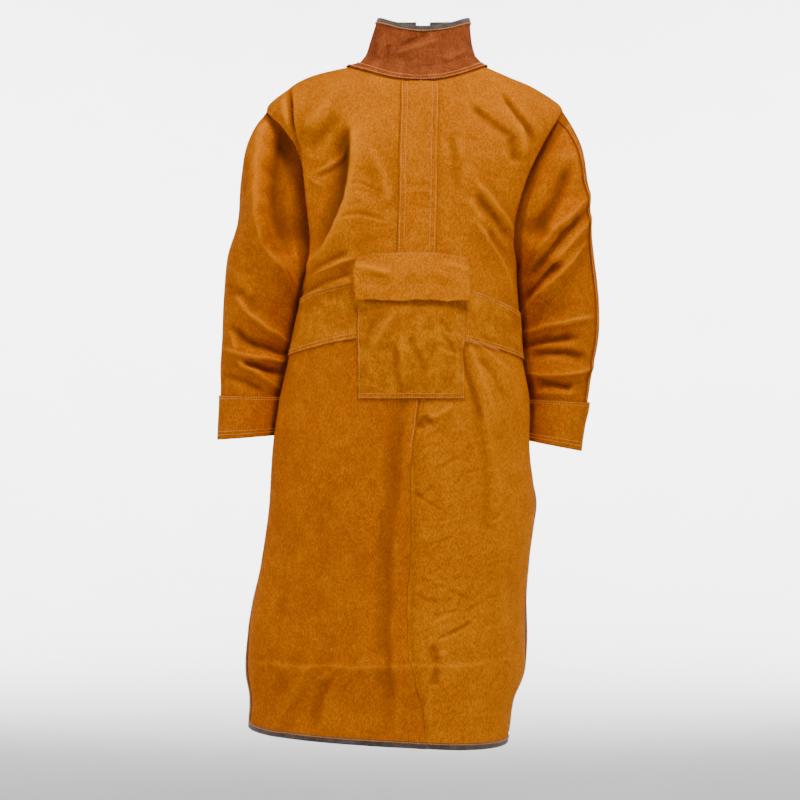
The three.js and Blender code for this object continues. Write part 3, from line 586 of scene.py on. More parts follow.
def sleeve(side, deg, k):
    """The folded sleeve at angles and rings: points, outward directions, and a value that paints crests paler
    and paints shade into hollows and where the sleeve nears the body.
    """
    deg, k = np.broadcast_arrays(np.asarray(deg, float), np.asarray(k, float))
    p, n = smooth_surface(functools.partial(sleeve_point, side), deg, k, SIDES[side])
    height = displacement(side, p, n)
    for bulge in UNDERARM:
        round_it = (deg - bulge["deg"] + 180) % 360 - 180
        near = ((k - bulge["ring"]) / bulge["half"]) ** 2 + (round_it / bulge["turn"]) ** 2
        height = height + bulge["out"] * np.exp(-near)
    round_deg, *known = seam_shift(side)
    seam, shift = (
        np.stack([np.interp(deg, round_deg, q[:, c], period=360) for c in range(3)], -1) for q in known
    )
    away = np.linalg.norm(p - seam, axis=-1)
    weight = np.exp(-((away / SEAM_REACH["sleeve"]) ** 2))[..., None]
    folded = p + n * height[..., None] * (1 - weight) + shift * weight
    gap, least = gap_to_body(side, folded)
    push = np.maximum(least - gap, 0) * smoothstep(away, SEAM_REACH["pushFrom"], SEAM_REACH["pushTo"])
    folded[..., 0] += SIDES[side] * push
    # Painted shade on the sleeve where it comes close to the body.
    crevice_shade = CREVICE_SHADE["dark"] * (1 - smoothstep(gap - least, CREVICE_SHADE["from"], CREVICE_SHADE["to"]))
    return folded, like(grid_normals(folded), n), wear_of(height) - crevice_shade


def gap_to_body(side, p):
    """How far points beside the body are from it, and how far they should be, also from its waistband."""
    sign = SIDES[side]
    rows = np.linspace(0, len(BODY_RINGS) - 1, 2000)
    z = along(BODY_RINGS, "zSide", rows) + sign * along(BODY_RINGS, "tilt", rows)
    v = np.interp(-p[..., 2], -z, rows)
    depth = np.where(p[..., 1] < 0, along(BODY_RINGS, "front", v), along(BODY_RINGS, "back", v))
    half = along(BODY_RINGS, side, v) * np.sqrt(np.maximum(1 - (p[..., 1] / depth) ** 2, 0))
    band = np.clip((BAND_NEAR["rows"] - np.abs(v - WAIST_JOINT)) / BAND_NEAR["fade"], 0, 1)
    return sign * (p[..., 0] - along(BODY_RINGS, "centre", v)) - half, BODY_CLEAR + OVER * band


def grid_normals(p):
    return unit(np.cross(np.gradient(p, axis=1), np.gradient(p, axis=0)))


def like(n, guide):
    return n if np.sum(n * guide) > 0 else -n


def on_front(x, z):
    """The body's surface at places of its front."""
    deg = np.zeros_like(x)
    v = np.full_like(x, row_where("zFront", float(np.mean(z))))
    for _ in range(30):
        p = ring_point(BODY_RINGS, deg, v)
        below = ring_point(BODY_RINGS, deg, v + 0.1)
        half = np.where(x < p[..., 0], along(BODY_RINGS, "left", v), along(BODY_RINGS, "right", v))
        deg = deg + np.degrees((x - p[..., 0]) / half) * 0.8
        v = v + (z - p[..., 2]) / (below[..., 2] - p[..., 2]) * 0.1
    return body(deg, v)


def spread(length, step, fine=(), near=0.9, reach=2.0):
    """Places from 0 to length about a step apart, closer together near the fine ones, which are hit."""
    fine = np.array([0.0, length, *fine])
    places = [0.0]
    while places[-1] < length:
        gap = max(np.min(np.abs(fine - places[-1])) - reach, 0)
        places.append(places[-1] + min(near + 0.35 * gap, step))
    places = np.array(places)
    places[-1] = length
    for place in fine:
        places[np.argmin(np.abs(places - place))] = place
    return np.unique(places)


def make(name, vertices, faces, material, **attributes):
    """A mesh object from corners in millimetres and arrays of faces, with its named point attributes."""
    faces = [block.astype(np.int32) for block in faces if len(block)]
    sizes = np.concatenate([np.full(len(block), block.shape[1]) for block in faces])
    corners = np.concatenate([block.ravel() for block in faces])
    mesh = bpy.data.meshes.new(name)
    mesh.vertices.add(len(vertices))
    mesh.vertices.foreach_set("co", (vertices * MM).astype(np.float32).ravel())
    mesh.loops.add(len(corners))
    mesh.loops.foreach_set("vertex_index", corners)
    mesh.polygons.add(len(sizes))
    mesh.polygons.foreach_set("loop_start", np.concatenate([[0], np.cumsum(sizes)[:-1]]).astype(np.int32))
    mesh.update(calc_edges=True)
    mesh.shade_smooth()
    for key, values in attributes.items():
        layer = mesh.attributes.new(key, "FLOAT", "POINT")
        layer.data.foreach_set("value", values.astype(np.float32).ravel())
    mesh.materials.append(material)
    piece = bpy.data.objects.new(name, mesh)
    bpy.context.collection.objects.link(piece)
    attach(piece, "root")
    return piece


def grid_faces(rows, columns, start=0, wrap=False):
    """Quads of a grid of corners."""
    i, j = np.meshgrid(np.arange(rows - 1), np.arange(columns if wrap else columns - 1), indexing="ij")
    a, b = i * columns + j, i * columns + (j + 1) % columns
    return start + np.stack([a, b, b + columns, a + columns], -1).reshape(-1, 4)


def edge_nearness(p, wrap, reach=5.0):
    """1 at the edges of a grid of points, falling to 0 that far inside."""
    down = np.linalg.norm(np.diff(p, axis=0), axis=-1)
    down = np.concatenate([np.zeros_like(down[:1]), np.cumsum(down, axis=0)])
    nearest = np.minimum(down, down[-1:] - down)
    if not wrap:
        across = np.linalg.norm(np.diff(p, axis=1), axis=-1)
        across = np.concatenate([np.zeros_like(across[:, :1]), np.cumsum(across, axis=1)], 1)
        nearest = np.minimum(nearest, np.minimum(across, across[:, -1:] - across))
    return np.clip(1 - nearest / reach, 0, 1)


def halved(count):
    return np.unique(np.append(np.arange(0, count, 2), count - 1))


def rim_loops(rows, columns, wrap):
    """The places round a grid's edge in order, as rows and columns."""
    i, j = np.divmod(np.arange(rows * columns).reshape(rows, columns), columns)
    if wrap:
        return [(i[0], j[0]), (i[-1][::-1], j[-1][::-1])]
    return [tuple(np.concatenate([q[0], q[1:, -1], q[-1, -2::-1], q[-2:0:-1, 0]]) for q in (i, j))]


def dip_between(p, n):
    """How far a fold dips below the lines between every second point of a grid, beside each point."""
    total = np.zeros(p.shape[:2])
    for axis in (0, 1):
        chord = (np.roll(p, 1, axis) + np.roll(p, -1, axis)) / 2
        dip = np.maximum(np.sum((chord - p) * n, -1), 0)
        ends = [slice(None), slice(None)]
        ends[axis] = [0, -1]
        dip[tuple(ends)] = 0
        total += np.maximum(dip, np.maximum(np.roll(dip, 1, axis), np.roll(dip, -1, axis)))
    return total


WALL = {"soft": 0.28, "steep": 1.5}  # how round its raw edges are, and how deep a steep dip is


def leather(name, p, n, wear, outer, inner, material, wrap=False):
    """A closed leather wall over a grid of surface points, with softly rounded raw edges.

    Its inside has half as many rows and columns as its outside."""
    rows, columns = p.shape[:2]
    outer, inner = (np.broadcast_to(np.asarray(q, float), (rows, columns)).copy() for q in (outer, inner))
    rim = np.zeros((rows, columns), bool)
    rim[[0, -1]] = True
    if not wrap:
        rim[:, [0, -1]] = True
    soft = WALL["soft"] * (outer - inner)
    outer[rim] -= soft[rim]
    inner[rim] += soft[rim]
    dip = dip_between(p, n)
    steep = np.clip(dip / WALL["steep"], 0, 1)[..., None]
    top = p + n * outer[..., None]
    low = p + unit(n * (1 - steep) + local_mean(n, 2) * steep) * (inner - dip)[..., None]
    keep_i = halved(rows)
    keep_j = np.arange(0, columns, 2) if wrap else halved(columns)
    less = np.ix_(keep_i, keep_j)
    count, count_low = rows * columns, len(keep_i) * len(keep_j)
    low_at = np.full((rows, columns), -1)
    low_at[less] = count + np.arange(count_low).reshape(len(keep_i), len(keep_j))
    quads = [grid_faces(rows, columns, 0, wrap), grid_faces(len(keep_i), len(keep_j), count, wrap)[:, ::-1]]
    triangles, middles = [], []
    start = count + count_low
    for i, j in rim_loops(rows, columns, wrap):
        inside = p[np.clip(i, 1, rows - 2), j if wrap else np.clip(j, 1, columns - 2)]
        middles.append((top[i, j] + low[i, j]) / 2 + unit(p[i, j] - inside) * soft[i, j][:, None])
        size = len(i)
        mid = start + np.arange(size)
        ahead = np.roll(np.arange(size), -1)
        above = i * columns + j
        quads.append(np.stack([above[ahead], above, mid, mid[ahead]], -1))
        kept = np.flatnonzero(low_at[i, j] >= 0)
        below = low_at[i, j]
        for a, b in zip(kept, np.roll(kept, -1)):
            last = a
            if (a + 1) % size != b:
                last = (a + 1) % size
                triangles.append([mid[last], mid[a], below[a]])
            quads.append(np.array([[mid[b], mid[last], below[a], below[b]]]))
        start += size
    quads = np.concatenate(quads)
    triangles = np.array(triangles, int).reshape(-1, 3)
    vertices = np.concatenate([top.reshape(-1, 3), low[less].reshape(-1, 3), *middles])
    corner = vertices[quads[: (rows - 1) * (columns - 1)]]
    facing = np.cross(corner[:, 1] - corner[:, 0], corner[:, 2] - corner[:, 0])
    if np.sum(facing * n.reshape(-1, 3)[quads[: len(corner), 0]]) < 0:
        quads, triangles = quads[:, ::-1], triangles[:, ::-1]
    edge = edge_nearness(p, wrap)
    extra = sum(len(q) for q in middles)
    piece = make(
        name, vertices, [quads, triangles], material,
        wear=np.concatenate([wear.ravel(), -wear[less].ravel(), np.zeros(extra)]),
        edge=np.concatenate([edge.ravel(), edge[less].ravel(), np.ones(extra)]),
    )
    return piece, top


# A seam's edge rolls to the inside with a thinner wall; its top is painted paler as a highlight, and the
# strip that rolls under is painted darker as shade.
ROLL = {"size": 1.1, "depth": 2.4, "bendWall": 1.2, "wall": 0.9, "worn": 1.1, "hidden": -1.0}
# How a sleeve's hidden edge lies under the panel that it is sewn to.
ALLOWANCE = {"roll": 3.0, "depth": 5.2, "least": 0.6, "width": 3.4}


def turn_in(p, n, wear, depth=ROLL["depth"], under=None):
    """A grid whose last column rolls over to the inside, as the edge of a seam does.

    With under, it goes on below the piece that it is sewn to: a grid of that one's surface with its
    outward directions, which starts at the seam."""
    edge, up = p[:, -1], n[:, -1]
    away = edge - p[:, -3]
    away = unit(away - up * np.sum(away * up, -1, keepdims=True))
    roll = ROLL["size"]
    strip = [edge + (away * a + up * b) * roll for a, b in ((0.7, -0.3), (1.0, -1.0), (1.0, -depth / roll))]
    if under:
        other, outward = under
        sunk = np.sum((strip[-1] - other[:, 0]) * outward[:, 0], -1, keepdims=True)
        strip.append(strip[-1] - outward[:, 0] * np.maximum(ALLOWANCE["depth"] + sunk, ALLOWANCE["least"]))
        strip.append(strip[-1] + unit(other[:, -1] - other[:, 0]) * ALLOWANCE["width"])
    count = len(strip)
    folded = np.concatenate([p, np.stack(strip, 1)], 1)
    inner = np.full(folded.shape[1], -LEATHER)
    inner[-count - 1 :] = (-ROLL["bendWall"],) + (-ROLL["wall"],) * count
    # Painted highlight on the welt's top, and painted shade on the strip that rolls under.
    welt = wear.copy()
    welt[:, -2:] += ROLL["worn"]
    wear = np.concatenate([welt, np.repeat(wear[:, -1:], count, 1) + ROLL["hidden"]], 1)
    guide = np.concatenate([n, np.repeat(away[:, None], count, 1)], 1)
    return folded, like(grid_normals(folded), guide), wear, inner


def swapped(*grids):
    return [np.swapaxes(q, 0, 1) for q in grids]


def distance_along(points):
    """How far each point of a path is from its start."""
    return np.concatenate([[0], np.cumsum(np.linalg.norm(np.diff(points, axis=0), axis=1))])


def between(places, known, values):
    """Vectors at places between the known ones."""
    return np.stack([np.interp(places, known, values[:, k]) for k in range(3)], -1)


def tubes(name, corners, flip=False):
    """One mesh of thread from closed tubes: corners by tube, ring and side."""
    count, rings, sides = corners.shape[:3]
    size = rings * sides
    offset = (size * np.arange(count))[:, None, None]
    cap = np.arange(sides)
    faces = [grid_faces(rings, sides, 0, True) + offset, np.stack([cap[::-1], cap + size - sides]) + offset]
    faces = [block.reshape(-1, block.shape[-1]) for block in faces]
    piece = make(name, corners.reshape(-1, 3), [block[:, ::-1] for block in faces] if flip else faces, THREAD)


# Stitches: each row is a path on a surface, and the rows laid so far become one mesh.
STITCH = {"pitch": 4.6, "share": 0.92, "thread": 0.92, "sides": 5, "slip": 0.2, "wobble": 0.16, "seed": 5}
# One stitch from end to end: the place in its length, and its rise and girth in threads.
STITCH_RINGS = table(
    "place rise girth",
    (-0.5, -0.8, 0.7),
    (-0.24, 0.45, 1),
    (0.24, 0.45, 1),
    (0.5, -0.8, 0.7),
)
stitch_rows = []


def stitch(points, normals):
    stitch_rows.append((points, normals))


def stitch_lines(top, n, lines, trim=0, down=False):
    """Stitches along some rows of a grid, or down some of its columns, with trimmed ends."""
    if down:
        top, n = swapped(top, n)
    span = slice(trim, top.shape[1] - trim)
    for i in lines:
        stitch(top[i, span], n[i, span])


def sew(name):
    """One mesh of all the stitches laid since the last call."""
    side = np.arange(STITCH["sides"]) * math.tau / STITCH["sides"]
    place, rise, girth = (np.array([ring[c] for ring in STITCH_RINGS]) for c in ("place", "rise", "girth"))
    place = place * STITCH["pitch"] * STITCH["share"]
    rise, girth = rise * STITCH["thread"], girth * STITCH["thread"]
    rng = np.random.default_rng(STITCH["seed"])
    corners = []
    for points, normals in stitch_rows:
        gone = distance_along(points)
        middles = np.arange(STITCH["pitch"] / 2, gone[-1], STITCH["pitch"])
        spots = middles[:, None] + place + rng.uniform(-STITCH["slip"], STITCH["slip"], (len(middles), 1))
        at, up = between(spots, gone, points), unit(between(spots, gone, normals))
        across = unit(np.cross(unit(np.gradient(at, axis=1)), up))
        wobble = rng.normal(0, STITCH["wobble"], (len(middles), len(place), 1))
        centre = at + up * rise[:, None] + across * wobble
        ring = np.cos(side)[:, None] * across[..., None, :] + np.sin(side)[:, None] * up[..., None, :]
        corners.append(centre[..., None, :] + ring * girth[:, None, None])
    stitch_rows.clear()
    tubes(name, np.concatenate(corners), flip=True)


# Binding tape: how wide it lies on each face of an edge and of the hem, its thickness, the room inside
# it, how its stitches lie from its own edge and above the leather, and its cut width in metres.
TAPE_FOLD = {"wide": 9.5, "hemWide": 10, "thick": 1.1, "room": 0.45, "sewn": 2.0, "rise": 1.2, "cut": 0.024}


def binding(nodename, edge, normals, away, length, wide=TAPE_FOLD["wide"]):
    """Woven tape folded over an edge and sewn: its path, the leather's outward direction, the way off it,
    and the tape's length in metres."""
    h = LEATHER / 2
    half, room = h + TAPE_FOLD["thick"], h + TAPE_FOLD["room"]
    turn = np.linspace(np.pi / 2, -np.pi / 2, 9)
    outside = [(-wide, half - 0.5), (-wide + 0.8, half), (-wide * 0.5, half + 0.1), (-1.0, half)]
    bend = [(0.2 + 1.3 * math.cos(t), half * math.sin(t)) for t in turn]
    hollow = [(-wide, -room), (-0.3, -room), (0.75, 0), (-0.3, room), (-wide, room)]
    profile = np.array(outside + bend + [(a, -b) for a, b in outside[::-1]] + hollow)
    middle = edge - normals * h
    corners = middle[:, None] + away[:, None] * profile[:, :1] + normals[:, None] * profile[:, 1:]
    count = len(profile)
    caps = cap_faces(count, count - len(hollow))
    faces = [grid_faces(len(edge), count, 0, True), caps[:, ::-1], caps + (len(edge) - 1) * count]
    faces = np.concatenate(faces)
    vertices = corners.reshape(-1, 3)
    first = vertices[faces[0]]
    if np.dot(np.cross(first[1] - first[0], first[2] - first[0]), first[0] - middle[0]) < 0:
        faces = faces[:, ::-1]
    tape = make(
        f"{nodename}.tape", vertices, [faces], TAPE,
        run=np.repeat(distance_along(edge) * MM, count),
        girth=np.tile(distance_along(profile) * MM, len(edge)),
    )
    declare(tape, nodename, "binding_tape", (TAPE_FOLD["cut"], length))
    stitch(edge + normals * TAPE_FOLD["rise"] - away * (wide - TAPE_FOLD["sewn"]), normals)


def cap_faces(count, lap):
    """Quads that close one end of a folded tape, between its outside and its hollow."""
    across = [count - 1 - round(k * (count - lap - 1) / (lap - 1)) for k in range(lap)]
    return np.array([[k, k + 1, across[k + 1], across[k]] for k in range(lap - 1)])


def empty_material(name):
    material = bpy.data.materials.new(name)
    material.use_nodes = True
    material.node_tree.nodes.clear()
    return material, material.node_tree


def node(tree, kind, inputs=None, **settings):
    """A shader node with its settings, and its inputs set to values or linked from other nodes."""
    made = tree.nodes.new(kind)
    for key, value in settings.items():
        setattr(made, key, value)
    for key, value in (inputs or {}).items():
        if isinstance(value, bpy.types.NodeSocket):
            tree.links.new(value, made.inputs[key])
        else:
            made.inputs[key].default_value = value
    return made


def place_of(tree):
    return node(tree, "ShaderNodeTexCoord").outputs["Object"]


def attribute(tree, name):
    return node(tree, "ShaderNodeAttribute", attribute_name=name).outputs["Fac"]


def math_node(tree, operation, *values):
    return node(tree, "ShaderNodeMath", dict(enumerate(values)), operation=operation).outputs[0]


def noise_node(tree, place, scale, detail=2.0, rough=0.5, distortion=0.0):
    inputs = {"Vector": place, "Scale": scale, "Detail": detail, "Roughness": rough, "Distortion": distortion}
    return node(tree, "ShaderNodeTexNoise", inputs).outputs["Fac"]


def blend(tree, factor, a, b, kind="MIX"):
    return node(tree, "ShaderNodeMix", {0: factor, 6: a, 7: b}, data_type="RGBA", blend_type=kind).outputs[2]


def spread_value(tree, value, low, high, to_low=0.0, to_high=1.0):
    inputs = {"Value": value, "From Min": low, "From Max": high, "To Min": to_low, "To Max": to_high}
    return node(tree, "ShaderNodeMapRange", inputs).outputs[0]


def bump_node(tree, height, distance, strength, **more):
    inputs = {"Height": height, "Distance": distance, "Strength": strength, **more}
    return node(tree, "ShaderNodeBump", inputs).outputs[0]


def surface_of(tree, **inputs):
    """The material's one shader, with spaces in its inputs' names written as underscores."""
    inputs = {key.replace("_", " "): value for key, value in inputs.items()}
    shader = node(tree, "ShaderNodeBsdfPrincipled", inputs)
    node(tree, "ShaderNodeOutputMaterial", {0: shader.outputs[0]})


def toned(colour, share):
    return tuple(min(1, share * c) for c in colour[:3]) + (1,)


# The noise in suede: cells to a metre, its detail, and the part of its range that counts.
SUEDE_NOISE = table(
    "name scale detail rough distortion low high",
    ("cloud", 9, 4, 0.55, 0.4, 0.32, 0.68),
    ("blotch", 38, 6, 0.68, 0.3, 0.34, 0.66),
    ("streak", 380, 3, 0.6, 0.2, 0.36, 0.64),
    ("nap", 520, 3, 0.7, 0.2, 0.3, 0.7),
    ("grain", 1400, 2, 0.6, 0.0, 0.3, 0.7),
)
NAP_LIE = {"Rotation": (0, 0.6, 0), "Scale": (1.0, 1.0, 0.6)}  # the way in which the nap is brushed


def suede(name, deep, base, light, uneven=1.0):
    """Napped split leather: uneven dye, short brushed nap, crests painted paler as worn nap and painted
    highlight, hollows and crevices painted dark as painted shade, and fibrous edges painted darker, partly
    their own colour and partly painted shade.
    """
    material, tree = empty_material(name)
    place = place_of(tree)
    brushed = node(tree, "ShaderNodeMapping", {"Vector": place, **NAP_LIE}).outputs[0]
    layers = {}
    for row in SUEDE_NOISE:
        where = brushed if row["name"] == "streak" else place
        value = noise_node(tree, where, row["scale"], row["detail"], row["rough"], row["distortion"])
        layers[row["name"]] = spread_value(tree, value, row["low"], row["high"])
    blotch, nap = layers["blotch"], layers["nap"]
    colour = blend(tree, spread_value(tree, layers["cloud"], 0, 1, 0.35, 0.9), deep, base)
    colour = blend(tree, spread_value(tree, blotch, 0.4, 1.0, 0, 0.26 * uneven), colour, light)
    colour = blend(tree, spread_value(tree, blotch, 0.0, 0.42, 0.2 * uneven, 0), colour, deep)
    tint = math_node(tree, "MULTIPLY_ADD", nap, 0.9, layers["streak"])
    shade = spread_value(tree, tint, 0.3, 1.6, 0.68, 1.29)
    grey = node(tree, "ShaderNodeCombineColor", {0: shade, 1: shade, 2: shade}).outputs[0]
    colour = blend(tree, 1.0, colour, grey, "MULTIPLY")
    wear = attribute(tree, "wear")
    # Painted shade: where folds sink and where parts meet, the colour is painted dark.
    hollow = math_node(tree, "POWER", spread_value(tree, wear, -9.0, -0.2, 1, 0), 0.6)
    colour = blend(tree, spread_value(tree, hollow, 0, 1, 0, 0.85), colour, toned(deep, 0.35))
    # Crests painted paler: partly worn nap, partly painted highlight.
    crest = spread_value(tree, wear, 0.15, 2.2, 0, 0.6)
    crest = math_node(tree, "MULTIPLY", crest, spread_value(tree, nap, 0.1, 0.8, 0.4, 1))
    colour = blend(tree, crest, colour, toned(light, 1.2))
    # Raw edges painted darker: partly the cut edge's own colour, partly painted shade along the edges.
    raw = math_node(tree, "MULTIPLY", spread_value(tree, attribute(tree, "edge"), 0.66, 1.0, 0, 0.85), nap)
    colour = blend(tree, raw, colour, toned(deep, 0.5))
    pebble = bump_node(tree, noise_node(tree, place, 270, 3, 0.65, 0.3), 0.0016, 0.5)
    fibres = math_node(tree, "MULTIPLY_ADD", nap, 0.7, layers["grain"])
    surface_of(
        tree, Base_Color=colour, Roughness=spread_value(tree, nap, 0, 1, 0.86, 0.98), Specular_IOR_Level=0.05,
        Sheen_Weight=0.03, Sheen_Roughness=0.5, Sheen_Tint=toned(light, 1.2),
        Normal=bump_node(tree, fibres, 0.0005, 0.8, Normal=pebble),
    )
    return material


def woven_tape(name, dark, light):
    """Woven binding tape: fine threads along and across it, a little fuzzy and unevenly dyed."""
    material, tree = empty_material(name)
    flat = node(tree, "ShaderNodeCombineXYZ", {"X": attribute(tree, "run"), "Y": attribute(tree, "girth")})
    threads = []
    for direction, scale in (("X", 260), ("Y", 300)):
        inputs = {"Vector": flat.outputs[0], "Scale": scale, "Distortion": 1.2, "Detail": 1.0}
        wave = node(tree, "ShaderNodeTexWave", inputs, wave_type="BANDS", bands_direction=direction)
        threads.append(wave.outputs["Fac"])
    weave = math_node(tree, "MULTIPLY", *threads)
    dye = spread_value(tree, noise_node(tree, place_of(tree), 60, 4, 0.6), 0.3, 0.7)
    mixed = math_node(tree, "MULTIPLY_ADD", weave, 0.6, dye)
    surface_of(
        tree, Base_Color=blend(tree, spread_value(tree, mixed, 0.1, 1.3), dark, light),
        Roughness=spread_value(tree, dye, 0, 1, 0.75, 0.9), Specular_IOR_Level=0.25, Sheen_Weight=0.2,
        Normal=bump_node(tree, weave, 0.0004, 0.7),
    )
    return material


def sewing_thread(name, dark, light):
    """Twisted thread, paler where it is clean."""
    material, tree = empty_material(name)
    place = place_of(tree)
    soil = spread_value(tree, noise_node(tree, place, 45, 4, 0.6), 0.3, 0.7)
    twist = node(tree, "ShaderNodeTexWave", {"Vector": place, "Scale": 700}, bands_direction="DIAGONAL")
    surface_of(
        tree, Base_Color=blend(tree, soil, dark, light), Roughness=spread_value(tree, soil, 0, 1, 0.85, 0.7),
        Specular_IOR_Level=0.1, Normal=bump_node(tree, twist.outputs["Fac"], 0.0002, 0.6),
    )
    return material


# Lots of suede with their deep, middle and light dye, and how uneven it is.
DYES = table(
    "lot deep base light uneven",
    ("gold", (0.50, 0.118, 0.0003, 1), (0.66, 0.176, 0.0004, 1), (0.82, 0.262, 0.001, 1), 1.0),
    ("honey", (0.56, 0.136, 0.0003, 1), (0.74, 0.204, 0.0004, 1), (0.88, 0.284, 0.001, 1), 1.0),
    ("amber", (0.44, 0.104, 0.0004, 1), (0.64, 0.178, 0.0006, 1), (0.84, 0.272, 0.002, 1), 2.2),
    ("brown", (0.46, 0.098, 0.0003, 1), (0.64, 0.158, 0.0004, 1), (0.82, 0.245, 0.001, 1), 1.0),
    ("russet", (0.22, 0.046, 0.012, 1), (0.32, 0.074, 0.020, 1), (0.46, 0.125, 0.028, 1), 2.0),
)
GOLD, HONEY, AMBER, BROWN, RUSSET = (
    suede(f"suede_{dye['lot']}", dye["deep"], dye["base"], dye["light"], dye["uneven"]) for dye in DYES
)
TAPE = woven_tape("binding_grey", (0.048, 0.038, 0.032, 1), (0.125, 0.098, 0.083, 1))
THREAD = sewing_thread("sewing_thread", (0.62, 0.194, 0.018, 1), (0.85, 0.322, 0.065, 1))


def declare(piece, nodename, slot, flat, area=None, on=()):
    """Hides the imported part of a node; the piece that stands for it and the size its sheet was cut to, in
    metres, are not used.
    """
    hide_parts(nodename)
    list(on)


STITCH_DIP = {"plain": 0.5, "deep": 0.6}  # how far stitches draw the leather in
FRONT_PANELS = ["front_panel_left", "front_panel_right"]


def near_rows(places, rows, width=1.5):
    """1 on each of some rows of stitches, falling away beside them."""
    return sum(np.exp(-(((places - row) / width) ** 2)) for row in rows)


def nearest_to(places, value):
    return int(np.argmin(np.abs(places - value)))


def lines_at(places, rows):
    return [nearest_to(places, row) for row in rows]


# How many of a bodice panel's rows lie above, beside and below the armhole, of a number given for it,
# and how much closer they are at the armhole's ends.
BODICE_ROWS = {"first": 0.03, "above": 0.42, "beside": 0.62, "below": 0.16, "closer": 0.55}
# How far the panels' edges stay from the middle, the side and the armhole's seam, in degrees.
PANEL_GAP = {"middle": 0.36, "side": 0.88, "frontHole": 0.40, "backHole": 0.50}
FRONT_GRID = {"rows": 210, "straight": 78, "straightTo": 58.5, "shaped": 38}
BACK_GRID = {"rows": 120, "wide": 40, "wideTo": 0.92, "closeFrom": 0.935, "close": 6, "tapeFrom": 4}


def bodice_rows(side, count):
    """Rows of a bodice panel, with how far the armhole cuts into each, in degrees."""
    _, (top, pit) = armhole(side, np.array([0, 180]))
    share = np.linspace(0, 1, int(count * BODICE_ROWS["beside"]))
    closer = BODICE_ROWS["closer"]
    share = (1 - closer) * share + closer * (1 - np.cos(np.pi * share)) / 2
    above = np.linspace(BODICE_ROWS["first"], top, int(count * BODICE_ROWS["above"]))[:-1]
    below = np.linspace(pit, WAIST_JOINT, int(count * BODICE_ROWS["below"]))[1:]
    cut = ARMHOLE_HALF_DEG * np.sin(np.arccos(1 - 2 * share))
    v = np.concatenate([above, top + (pit - top) * share, below])
    return v, np.concatenate([np.zeros_like(above), cut, np.zeros_like(below)])


def seam_gap(cut, hole):
    """How far a panel's edge stays from the side or from the armhole's seam at each row, in degrees."""
    return PANEL_GAP["side"] + (hole - PANEL_GAP["side"]) * cut / ARMHOLE_HALF_DEG


def front_panel(side):
    v, cut = bodice_rows(side, FRONT_GRID["rows"])
    straight = np.linspace(PANEL_GAP["middle"], FRONT_GRID["straightTo"], FRONT_GRID["straight"])
    share = np.linspace(0, 1, FRONT_GRID["shaped"] + 1)[1:]
    last = 90 - seam_gap(cut, PANEL_GAP["frontHole"]) - cut
    shaped = straight[-1] + (last[:, None] - straight[-1]) * share
    deg = np.concatenate([np.broadcast_to(straight, (len(v), len(straight))), shaped], 1)
    p, n, wear = body(SIDES[side] * deg, np.broadcast_to(v[:, None], deg.shape))
    p, n, wear, inner = turn_in(p, n, wear)
    piece, _ = leather(f"front_panel_{side}.suede", p, n, wear, 0, inner, GOLD)
    declare(piece, f"front_panel_{side}", "suede", (0.34, 0.52), 0.11)


def open_edge(side, v):
    return along(BODY_RINGS, OPEN[side], v)


def back_panel(side):
    v, cut = bodice_rows(side, BACK_GRID["rows"])
    start = (90 + seam_gap(cut, PANEL_GAP["backHole"]) + cut)[:, None]
    wide = np.linspace(0, BACK_GRID["wideTo"], BACK_GRID["wide"])
    share = np.concatenate([wide, np.linspace(BACK_GRID["closeFrom"], 1, BACK_GRID["close"])])
    deg = (start + (open_edge(side, v)[:, None] - start) * share)[:, ::-1]
    p, n, wear = body(SIDES[side] * deg, np.broadcast_to(v[:, None], deg.shape))
    edge, up, away = p[:, 0], n[:, 0], unit(p[:, 0] - p[:, 3])
    p, n, wear, inner = turn_in(p, n, wear)
    piece, _ = leather(f"back_panel_{side}.suede", p, n, wear, 0, inner, BROWN)
    declare(piece, f"back_panel_{side}", "suede", (0.26, 0.52), 0.075)
    span = slice(BACK_GRID["tapeFrom"], np.searchsorted(v, RING["band_top"]) - 1)
    binding(f"back_binding_{side}", edge[span], up[span], away[span], 0.40)


SLEEVE_CUT = {"wide": ((0.27, 0.56), 0.12), "narrow": ((0.20, 0.56), 0.085)}  # flat sizes and areas
SLEEVE_GRID = {"front": {"rows": 210, "step": 2.5}, "back": {"rows": 120, "step": 4.5}}
SLEEVE_RADIUS = 62  # a middling one, for the spacing round the arm
SLEEVE_GAP = {"overarm": 0.7, "armhole": 1.6}  # degrees at the overarm seam, millimetres at the armhole
# The overarm lap: its width, its stitches from its edge, and where it rises over the front panel.
OVERARM = {"lap": 7.0, "stitches": (2.5, 7), "riseFrom": 16, "riseTo": 3, "stitchFrom": 8}
PANEL_GROWTH = np.array([1.0, 1.05, 1.1, 1.15])  # lines round the armhole, on the panels beside it


